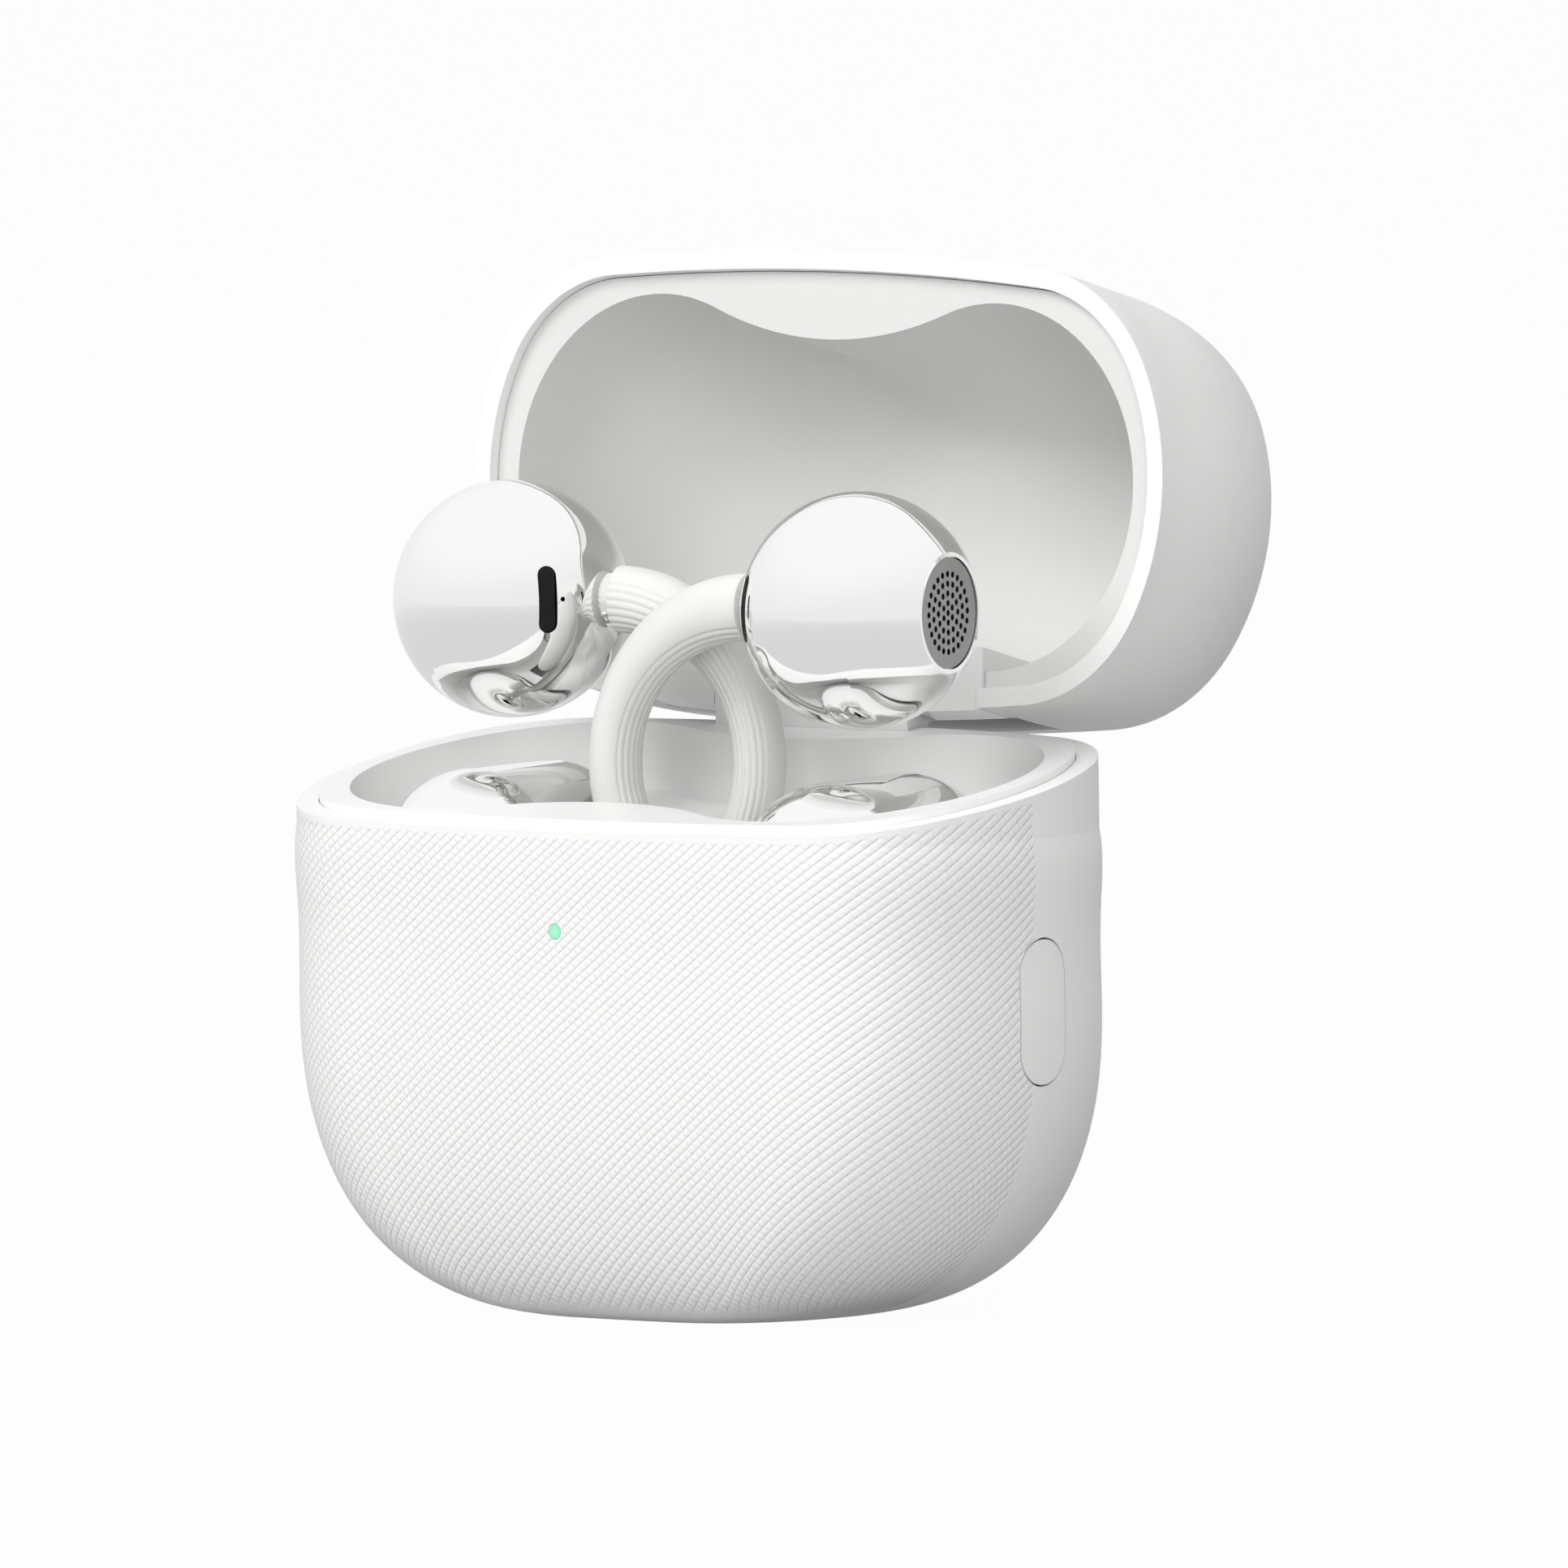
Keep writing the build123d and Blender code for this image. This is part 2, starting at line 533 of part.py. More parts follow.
def usb_c_socket():
    """Metal shell of the charging socket, opening downwards, with its tongue."""
    outer = SlotOverall(SOCKET_WIDTH, SOCKET_DEPTH)
    inner = SlotOverall(SOCKET_WIDTH - 2 * SOCKET_WALL, SOCKET_DEPTH - 2 * SOCKET_WALL)
    shell = extrude(Pos(0, 0, SOCKET_SET_BACK) * outer, SOCKET_HEIGHT)
    shell -= extrude(Pos(0, 0, SOCKET_SET_BACK) * inner, SOCKET_HEIGHT - SOCKET_WALL)
    tongue = Rectangle(TONGUE_WIDTH, TONGUE_THICKNESS)
    return shell + extrude(Pos(0, 0, 2 * SOCKET_SET_BACK) * tongue, SOCKET_HEIGHT - SOCKET_SET_BACK)


def main_board():
    """Main circuit board on top of the socket."""
    outline = RectangleRounded(BOARD_WIDTH, BOARD_DEPTH, 2)
    return extrude(Pos(0, 0, SOCKET_TOP) * outline, BOARD_THICKNESS)


def board_shield():
    """Metal can over the charging electronics."""
    outline = RectangleRounded(SHIELD_WIDTH, SHIELD_DEPTH, 1)
    return extrude(Pos(0, 0, BOARD_TOP) * outline, SHIELD_HEIGHT)


def case_battery():
    """Pouch cell of the case."""
    outline = RectangleRounded(CELL_WIDTH, CELL_DEPTH, CELL_CORNER)
    cell = extrude(Pos(0, 0, CELL_BOTTOM) * outline, CELL_TOP - CELL_BOTTOM)
    return fillet(cell.edges().filter_by(Axis.Z, reverse=True), CELL_EDGE)


def battery_foam():
    """Foam pad between the battery and the tray."""
    outline = RectangleRounded(FOAM_WIDTH, FOAM_DEPTH, 1)
    return extrude(Pos(0, 0, CELL_TOP) * outline, WELL_BOTTOM - CELL_TOP - FIT_GAP)


def coil_plate(thickness, front, band):
    """Rounded upright plate along the back wall, open in the middle when it has a band."""
    plate = RectangleRounded(COIL_WIDTH, COIL_HEIGHT, COIL_BAND + 1)
    if band:
        plate -= RectangleRounded(COIL_WIDTH - 2 * band, COIL_HEIGHT - 2 * band, 1)
    return Pos(0, front, COIL_Z) * Rot(X=-90) * extrude(plate, thickness)


def charging_coil():
    """Flat winding behind the back wall for wireless charging."""
    return coil_plate(COIL_THICKNESS, COIL_FRONT, COIL_BAND)


def coil_ferrite():
    """Ferrite sheet in front of the charging coil."""
    return coil_plate(FERRITE_THICKNESS, COIL_FRONT - FERRITE_THICKNESS, 0)


def closure_magnet(height):
    """Bar magnet behind the front wall, its bottom a stated height over the parting plane."""
    back = -(HALF_DEPTH - BASE_WALL - 3 * FIT_GAP - MAGNET_DEPTH)
    bar = box_between((-MAGNET_WIDTH / 2, back - MAGNET_DEPTH, -BIG), (MAGNET_WIDTH / 2, back, BIG))
    return bar & slab(height, height + MAGNET_HEIGHT)


def bud_magnets():
    """Four disc magnets under the wells that pull the earbuds down."""
    discs = []
    top = BEAN_Z - BEAN_RADIUS - WELL_GAP - TRAY_WALL
    for y in (BUD_MAGNET_Y, -BUD_MAGNET_Y):
        disc = Cylinder(BUD_MAGNET_RADIUS, BUD_MAGNET_HEIGHT)
        discs.append(Pos(BEAN_X, y, top - BUD_MAGNET_HEIGHT / 2) * disc)
    return [placed_bud(disc, side) for side in (1, -1) for disc in discs]


def probe_block(side):
    """Housing of the two spring probes under one well."""
    length = CONTACT_SPACING + PROBE_BLOCK_WIDTH
    top = BEAN_Z - BEAN_RADIUS - WELL_GAP - TRAY_WALL - FIT_GAP
    half = PROBE_BLOCK_WIDTH / 2
    low = (BEAN_X - half, -length / 2, PROBE_BLOCK_BOTTOM)
    block = box_between(low, (BEAN_X + half, length / 2, top))
    for sign in (1, -1):
        bore = Cylinder(PROBE_RADIUS + PIN_RUNNING_GAP, BIG)
        block -= Pos(BEAN_X, sign * CONTACT_SPACING / 2, PROBE_BOTTOM + BIG / 2) * bore
    return placed_bud(block, side)


def probe_pins(side):
    """The two spring probes of one well, as separate pins."""
    return [placed_bud(pin, side) for pin in probes(PROBE_RADIUS).solids()]


# Pairing button


def button_cap():
    """Flush cap of the pairing button with the lip that keeps it in."""
    cap = stadium_bar(BUTTON_WIDTH, BUTTON_HEIGHT, 4 * BASE_WALL)
    cap = (Pos(LIP_X, 0, BUTTON_Z) * cap) & base_body()
    lip = stadium_bar(BUTTON_WIDTH + 2 * BUTTON_LIP, BUTTON_HEIGHT + 2 * BUTTON_LIP, BUTTON_LIP_THICKNESS)
    lip = (Pos(LIP_X, 0, BUTTON_Z) * lip) & base_body(BASE_WALL + BUTTON_GAP)
    boss = Pos(LIP_X - BUTTON_BOSS_LENGTH / 2, 0, BUTTON_Z) * Rot(Y=90)
    return cap + lip + boss * Cylinder(BUTTON_BOSS_RADIUS, BUTTON_BOSS_LENGTH)


def button_switch():
    """Push switch behind the button."""
    back = BOARD_X + BUTTON_BOARD_THICKNESS
    half = SWITCH_SIZE / 2
    return box_between((back, -half, BUTTON_Z - half), (back + SWITCH_DEPTH, half, BUTTON_Z + half))


def button_board():
    """Board that carries the switch, between the two rails."""
    half = BUTTON_BOARD_WIDTH / 2 - FIT_GAP
    rise = BUTTON_BOARD_HEIGHT / 2
    return box_between(
        (BOARD_X, -half, BUTTON_Z - rise), (BOARD_X + BUTTON_BOARD_THICKNESS, half, BUTTON_Z + rise)
    )


# Lid pieces, drawn shut


def plate_room(gap):
    """Where the hinge plate lies in the lid's back wall, grown by a gap."""
    half = PLATE_HALF_WIDTH + gap
    return box_between((-half, 0, HINGE_Z + KNUCKLE_RADIUS - gap), (half, BIG, HINGE_Z + PLATE_TOP + gap))


def lid_shell():
    """Outer shell of the lid, notched at the back for the hinge."""
    shell = (lid_body() - lid_body(LID_WALL)) & slab(PARTING_GAP, BIG / 2)
    shell -= plate_room(FIT_GAP)
    half = EAR_HALF_WIDTH + FIT_GAP
    shell -= box_between((-half, 0, 0), (half, BIG, HINGE_Z + KNUCKLE_RADIUS))
    return shell - swing_clearance(SWING_RADIUS)


def lid_liner():
    """Formed lining of the lid: a band round its rim and a smooth hollow."""
    low = PARTING_GAP + BAND_DEPTH
    band = lid_body(LID_WALL + FIT_GAP) & slab(low, low + BAND_THICKNESS)
    cup = lining_hollow(LINER_WALL) & slab(low, BIG)
    liner = band + cup - lining_hollow(0)
    half = EAR_HALF_WIDTH + FIT_GAP
    return liner - box_between((-half, HINGE_Y - EAR_FRONT - FIT_GAP, 0), (half, BIG, HINGE_Z + EAR_TOP))


def hinge_frame():
    """White frame at the back of the lid whose two ears hold the pin."""
    half = EAR_HALF_WIDTH
    frame = box_between((-half, HINGE_Y - EAR_FRONT, 0), (half, BIG, HINGE_Z + EAR_TOP))
    frame = frame & lid_body() & slab(RING_RISE + MOVING_GAP, BIG / 2)
    frame -= plate_room(0) - lid_body(LID_WALL)
    frame -= swing_clearance(SWING_RADIUS)
    knuckle = KNUCKLE_HALF_WIDTH + MOVING_GAP
    front = HINGE_Y - KNUCKLE_FRONT - MOVING_GAP
    frame -= box_between((-knuckle, front, 0), (knuckle, BIG, HINGE_Z))
    frame -= hinge_rod(KNUCKLE_RADIUS + MOVING_GAP / 2, 2 * knuckle)
    return frame - hinge_rod(PIN_RADIUS, 2 * EAR_HALF_WIDTH - 2 * FIT_GAP)


def hinge_plate():
    """Polished plate in the lid's back wall over the hinge."""
    plate = (lid_body() - lid_body(LID_WALL - FIT_GAP)) & plate_room(0)
    knuckle = KNUCKLE_HALF_WIDTH + MOVING_GAP
    return plate - hinge_rod(KNUCKLE_RADIUS + MOVING_GAP / 2, 2 * knuckle)


def hinge_pin():
    """Steel pin held in the ears, turning in the block."""
    return hinge_rod(PIN_RADIUS, 2 * EAR_HALF_WIDTH - 2 * FIT_GAP)


# Earbud pieces, in the bud's own place


def ball_at(shape):
    """Move a shape from the origin to the middle of the ball."""
    return Pos(0, 0, BALL_Z) * shape


def rectangle_between(low, high):
    """Rectangle from its lowest corner to its highest corner."""
    middle = Pos((low[0] + high[0]) / 2, (low[1] + high[1]) / 2)
    return middle * Rectangle(high[0] - low[0], high[1] - low[1])


def ball_skin(start, end):
    """Hollow ball between two places on its axis, with a flat seat for the grille."""
    outside = Circle(BALL_RADIUS) & rectangle_between((start, 0), (end, BALL_RADIUS))
    inner = BALL_RADIUS - BALL_WALL
    inside = Circle(inner) & rectangle_between((-inner, 0), (GRILLE_FACE - BALL_WALL, inner))
    seat = GRILLE_FACE - GRILLE_RECESS - GRILLE_THICKNESS
    recess = rectangle_between((seat, 0), (BALL_RADIUS, GRILLE_RADIUS + FIT_GAP))
    mouth = rectangle_between((0, 0), (BALL_RADIUS, GRILLE_RADIUS - GRILLE_RIM))
    return revolve(outside - inside - recess - mouth, Axis.X)


def ball_front():
    """Half of the ball that holds the grille."""
    return ball_at(ball_skin(BALL_SPLIT, GRILLE_FACE))


def ball_back():
    """Half of the ball towards the bridge, with its two slots and the wire's hole."""
    skin = ball_skin(-BALL_RADIUS, BALL_SPLIT)
    slot = Pos(BALL_RADIUS - 2 * BALL_WALL, 0, SLOT_RAISE) * stadium_bar(SLOT_WIDTH, SLOT_LENGTH, 3 * BALL_WALL)
    for sign in (1, -1):
        skin -= Rot(Z=180 + sign * SLOT_TURN) * slot
        pinhole = Rot(Z=180 + sign * PINHOLE_TURN) * Pos(BALL_RADIUS, 0, SLOT_RAISE) * Rot(Y=90)
        skin -= pinhole * Cylinder(PINHOLE_RADIUS, 4 * BALL_WALL)
    return ball_at(skin) - wire_bar()


def speaker_grille():
    """Perforated metal disc, its holes in rings."""
    disc = Cylinder(GRILLE_RADIUS, GRILLE_THICKNESS)
    disc -= Cylinder(GRILLE_HOLE_RADIUS, 1)
    for ring in range(1, GRILLE_RINGS + 1):
        disc -= PolarLocations(ring * GRILLE_PITCH, 6 * ring) * Cylinder(GRILLE_HOLE_RADIUS, 1)
    return ball_at(Pos(GRILLE_FACE - GRILLE_RECESS - GRILLE_THICKNESS / 2, 0, 0) * Rot(Y=90) * disc)


def speaker_driver():
    """Speaker capsule behind the grille, its nose reaching up to it."""
    reach = GRILLE_FACE - GRILLE_RECESS - GRILLE_THICKNESS - FIT_GAP - DRIVER_FACE
    body = Pos(DRIVER_FACE - DRIVER_THICKNESS / 2, 0, 0) * Rot(Y=90)
    nose = Pos(DRIVER_FACE + reach / 2, 0, 0) * Rot(Y=90)
    driver = body * Cylinder(DRIVER_RADIUS - FIT_GAP, DRIVER_THICKNESS)
    return ball_at(driver + nose * Cylinder(GRILLE_RADIUS - 2 * GRILLE_RIM, reach))


def ball_board():
    """Round circuit board behind the speaker."""
    middle = DRIVER_FACE - DRIVER_THICKNESS - FIT_GAP - BUD_BOARD_THICKNESS / 2
    return ball_at(Pos(middle, 0, 0) * Rot(Y=90) * Cylinder(DRIVER_RADIUS, BUD_BOARD_THICKNESS))


def slot_meshes():
    """Black mesh in each of the ball's two slots."""
    pieces = []
    for sign in (1, -1):
        width = SLOT_WIDTH - 2 * FIT_GAP
        bar = stadium_bar(width, SLOT_LENGTH - 2 * FIT_GAP, BALL_WALL / 2)
        bar = Pos(BALL_RADIUS - BALL_WALL - FIT_GAP, 0, SLOT_RAISE) * bar
        pieces.append(ball_at(Rot(Z=180 + sign * SLOT_TURN) * bar))
    return pieces


def wire_bar():
    """Springy wire along the bridge's midline, from inside the ball to inside the bar."""
    return arc_bar(2 * WIRE_RADIUS, 2 * WIRE_RADIUS, WIRE_START, WIRE_END)


def bridge_neck():
    """Polished stub between the ball and the sleeve, with a hole for the wire."""
    neck = arc_bar(*NECK_SECTION, WIRE_START, BRIDGE_START)
    neck -= ball_at(Sphere(BALL_RADIUS))
    return main_solid(neck) - wire_bar()


def bridge_sleeve():
    """Soft sleeve of the bridge, from the neck to the bar."""
    sleeve = tapered_bar() - bean_at(capsule(BEAN_RADIUS, BEAN_LENGTH))
    return main_solid(sleeve) - wire_bar()


def bean_pads():
    """The two round charging pads on the underside of the bar."""
    pads = []
    skin = capsule(BEAN_RADIUS, BEAN_LENGTH) - capsule(BEAN_RADIUS, BEAN_LENGTH, CONTACT_THICKNESS)
    for sign in (1, -1):
        post = Pos(0, sign * CONTACT_SPACING / 2, -BEAN_RADIUS) * Cylinder(CONTACT_RADIUS, BEAN_RADIUS)
        pads.append(bean_at(skin & post))
    return pads


def bean_half(upper):
    """Upper or lower half of the bar's hollow shell."""
    skin = capsule(BEAN_RADIUS, BEAN_LENGTH) - capsule(BEAN_RADIUS, BEAN_LENGTH, BEAN_WALL)
    half = bean_at(skin & Pos(0, 0, BIG / 2 if upper else -BIG / 2) * Box(BIG, BIG, BIG))
    if not upper:
        half -= wire_bar()
        for pad in bean_pads():
            half -= pad
    return half


def bean_battery():
    """Small round cell in the bar."""
    return bean_at(Rot(X=90) * Cylinder(BUD_CELL_RADIUS, BUD_CELL_LENGTH))


def main_solid(shape):
    """The largest solid of a shape."""
    return max(shape.solids(), key=lambda solid: solid.volume)


def saved(name, shape):
    """Write one piece to its own file."""
    solids = shape if isinstance(shape, list) else [shape]
    solids = [solid for item in solids for solid in item.solids()]
    export_step(Compound(children=solids) if len(solids) > 1 else solids[0], f"parts/{name}.step")


def base_pieces():
    """Every piece that stays in the base."""
    pieces = {
        "base_shell": base_shell(),
        "charging_tray": charging_tray(),
        "hinge_block": hinge_block(),
        "hinge_spring": hinge_spring(),
        "status_lamp": status_lamp(),
        "lamp_board": lamp_board(),
        "usb_c_socket": usb_c_socket(),
        "main_board": main_board(),
        "board_shield": board_shield(),
        "case_battery": case_battery(),
        "battery_foam": battery_foam(),
        "charging_coil": charging_coil(),
        "coil_ferrite": coil_ferrite(),
        "base_magnet": closure_magnet(-RING_THICKNESS - FIT_GAP - MAGNET_HEIGHT),
        "bud_magnets": bud_magnets(),
        "button_cap": button_cap(),
        "button_switch": button_switch(),
        "button_board": button_board(),
    }
    for name, side in (("right", 1), ("left", -1)):
        pieces[f"probe_block_{name}"] = probe_block(side)
        pieces[f"probe_pins_{name}"] = probe_pins(side)
    return pieces


def lid_pieces():
    """Every piece of the lid, drawn shut."""
    return {
        "lid_shell": lid_shell(),
        "lid_liner": lid_liner(),
        "hinge_frame": hinge_frame(),
        "hinge_plate": hinge_plate(),
        "hinge_pin": hinge_pin(),
        "lid_magnet": closure_magnet(PARTING_GAP + BAND_DEPTH + BAND_THICKNESS + FIT_GAP),
    }


def bud_pieces():
    """Every piece of one earbud, in the bud's own place."""
    return {
        "ball_front": ball_front(),
        "ball_back": ball_back(),
        "speaker_grille": speaker_grille(),
        "speaker_driver": speaker_driver(),
        "ball_board": ball_board(),
        "slot_meshes": slot_meshes(),
        "bridge_neck": bridge_neck(),
        "bridge_sleeve": bridge_sleeve(),
        "bridge_wire": wire_bar(),
        "bean_top": bean_half(True),
        "bean_bottom": bean_half(False),
        "bean_pads": bean_pads(),
        "bean_battery": bean_battery(),
    }


def placed_pieces():
    """Every piece where it rests, with the lid open and both earbuds in their wells."""
    pieces = base_pieces()
    for name, shape in lid_pieces().items():
        pieces[name] = opened(shape)
    for name, shape in bud_pieces().items():
        items = shape if isinstance(shape, list) else [shape]
        pieces[f"right_{name}"] = [placed_bud(item, 1) for item in items]
        pieces[f"left_{name}"] = [placed_bud(item, -1) for item in items]
    return pieces


os.makedirs("parts", exist_ok=True)
for name, shape in placed_pieces().items():
    saved(name, shape)
    print(name)
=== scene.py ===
"""Looks of a hinged charging case with its two clip-on earbuds.

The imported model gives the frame. This script dresses each of its pieces in a finish,
adds the ribbed bridge sleeves and the studio, and sets up the camera. The case and what
the camera aims at are measured in millimetres, and the floor, the lamps and the reach of
the lens in metres. Meshes are in metres.
"""

import json
import logging
import math
from dataclasses import dataclass
from enum import Enum
from typing import Any, ClassVar, Iterable, Mapping, Sequence, Union

import bmesh
import bpy
from mathutils import Matrix, Vector

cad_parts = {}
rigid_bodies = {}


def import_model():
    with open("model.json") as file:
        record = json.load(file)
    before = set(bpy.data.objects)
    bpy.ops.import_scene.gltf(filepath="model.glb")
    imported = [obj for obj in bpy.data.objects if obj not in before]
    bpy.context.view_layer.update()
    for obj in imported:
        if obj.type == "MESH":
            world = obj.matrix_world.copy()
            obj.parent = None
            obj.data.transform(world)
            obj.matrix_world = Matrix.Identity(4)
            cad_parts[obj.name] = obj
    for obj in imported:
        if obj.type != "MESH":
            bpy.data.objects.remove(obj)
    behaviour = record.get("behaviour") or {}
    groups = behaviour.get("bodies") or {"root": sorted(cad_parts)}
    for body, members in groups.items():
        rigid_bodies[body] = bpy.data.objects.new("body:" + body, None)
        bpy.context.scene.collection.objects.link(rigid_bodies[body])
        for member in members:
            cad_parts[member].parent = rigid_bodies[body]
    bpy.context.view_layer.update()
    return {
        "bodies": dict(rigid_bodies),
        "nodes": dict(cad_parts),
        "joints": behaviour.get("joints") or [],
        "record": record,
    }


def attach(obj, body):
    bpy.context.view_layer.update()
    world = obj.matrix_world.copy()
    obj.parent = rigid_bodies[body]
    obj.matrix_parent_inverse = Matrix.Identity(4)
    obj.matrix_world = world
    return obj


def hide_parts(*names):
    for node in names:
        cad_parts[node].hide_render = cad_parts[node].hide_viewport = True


LOG = logging.getLogger("earbuds_case")
MM = 0.001

Number = Union[int, float]
Colour = tuple[float, float, float]

HALF_DEPTH = 12.875  # middle of the case to its front
RIM_HEIGHT = 30.3  # bottom face to the parting plane, on the middle of the case
PARTING_TILT = 9.9  # degrees, the front edge lower than the back edge
PURE_WHITE = (1.0, 1.0, 1.0)
NO_LIGHT = (0.0, 0.0, 0.0)
MIX_LOW, MIX_HIGH, MIX_RESULT = 6, 7, 2  # colour sockets of a Mix node


class Side(Enum):
    """The two earbuds, with the sign of the side each one sits on."""

    RIGHT = 1
    LEFT = -1

    def node(self, piece: str) -> str:
        """Name of this earbud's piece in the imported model."""
        return f"{self.name.lower()}_{piece}"

    @property
    def body(self) -> str:
        """Name of the body that this earbud's pieces ride on."""
        return f"earbud_{self.name.lower()}"


class Wave(Enum):
    """Shapes that repeat along a pattern."""

    ROUND = "round"
    RIDGE = "ridge"


class Ray(Enum):
    """Kinds of light ray that a shader can tell apart."""

    CAMERA = "Is Camera Ray"
    GLOSSY = "Is Glossy Ray"
    TRANSMISSION = "Is Transmission Ray"


class Value:
    """A shader socket that can be used in arithmetic."""

    def __init__(self, graph: "Graph", socket: bpy.types.NodeSocket) -> None:
        """Wrap a socket.

        Args:
            graph: the graph that makes the new nodes.
            socket: the output that holds the number.
        """
        self.graph = graph
        self.socket = socket

    def _join(self, operation: str, *others: "Operand") -> "Value":
        """Value of a Math node fed by this value and the others."""
        return self.graph.maths(operation, self, *others)

    def __add__(self, other: "Operand") -> "Value":
        """Sum."""
        return self._join("ADD", other)

    __radd__ = __add__

    def __sub__(self, other: "Operand") -> "Value":
        """Difference."""
        return self._join("SUBTRACT", other)

    def __rsub__(self, other: "Operand") -> "Value":
        """Difference, the other way round."""
        return self.graph.maths("SUBTRACT", other, self)

    def __mul__(self, other: "Operand") -> "Value":
        """Product."""
        return self._join("MULTIPLY", other)

    __rmul__ = __mul__

    def __truediv__(self, other: "Operand") -> "Value":
        """Quotient."""
        return self._join("DIVIDE", other)

    def __rtruediv__(self, other: "Operand") -> "Value":
        """Quotient, the other way round."""
        return self.graph.maths("DIVIDE", other, self)

    def __neg__(self) -> "Value":
        """Negative."""
        return self._join("MULTIPLY", -1.0)

    def __abs__(self) -> "Value":
        """Size without its sign."""
        return self._join("ABSOLUTE")

    def __gt__(self, other: "Operand") -> "Value":
        """One where this value is the greater, and zero elsewhere."""
        return self._join("GREATER_THAN", other)

    def floor(self) -> "Value":
        """Whole part."""
        return self._join("FLOOR")

    def fraction(self) -> "Value":
        """What is left over the whole part."""
        return self._join("FRACT")

    def root(self) -> "Value":
        """Square root."""
        return self._join("SQRT")

    def at_least(self, other: "Operand") -> "Value":
        """The greater of this value and the other."""
        return self._join("MAXIMUM", other)

    def at_most(self, other: "Operand") -> "Value":
        """The lesser of this value and the other."""
        return self._join("MINIMUM", other)

    def arctan2(self, other: "Operand") -> "Value":
        """Angle whose sine goes with this value and whose cosine goes with the other."""
        return self._join("ARCTAN2", other)

    def step(self, low: float, high: float) -> "Value":
        """Smooth rise from zero at low to one at high, or fall if low is the greater.

        Args:
            low: where the result is zero.
            high: where the result is one.

        Returns:
            A value from zero to one.
        """
        node = self.graph.node(
            "ShaderNodeMapRange",
            {"interpolation_type": "SMOOTHSTEP"},
            {"Value": self, "From Min": low, "From Max": high},
        )
        return Value(self.graph, node.outputs["Result"])

    def wave(self, pitch: float, shape: Wave) -> "Value":
        """Ridges that repeat at a pitch.

        Args:
            pitch: distance from one ridge to the next, in this value's unit.
            shape: round for half-round cords side by side, or ridge for a soft zigzag.

        Returns:
            A height from zero in the grooves to one on the ridges.
        """
        across = (self / pitch).fraction() * 2 - 1
        if shape is Wave.ROUND:
            return (1 - across * across).at_least(0).root()
        return 1 - abs(across)


Operand = Union[Value, Number]


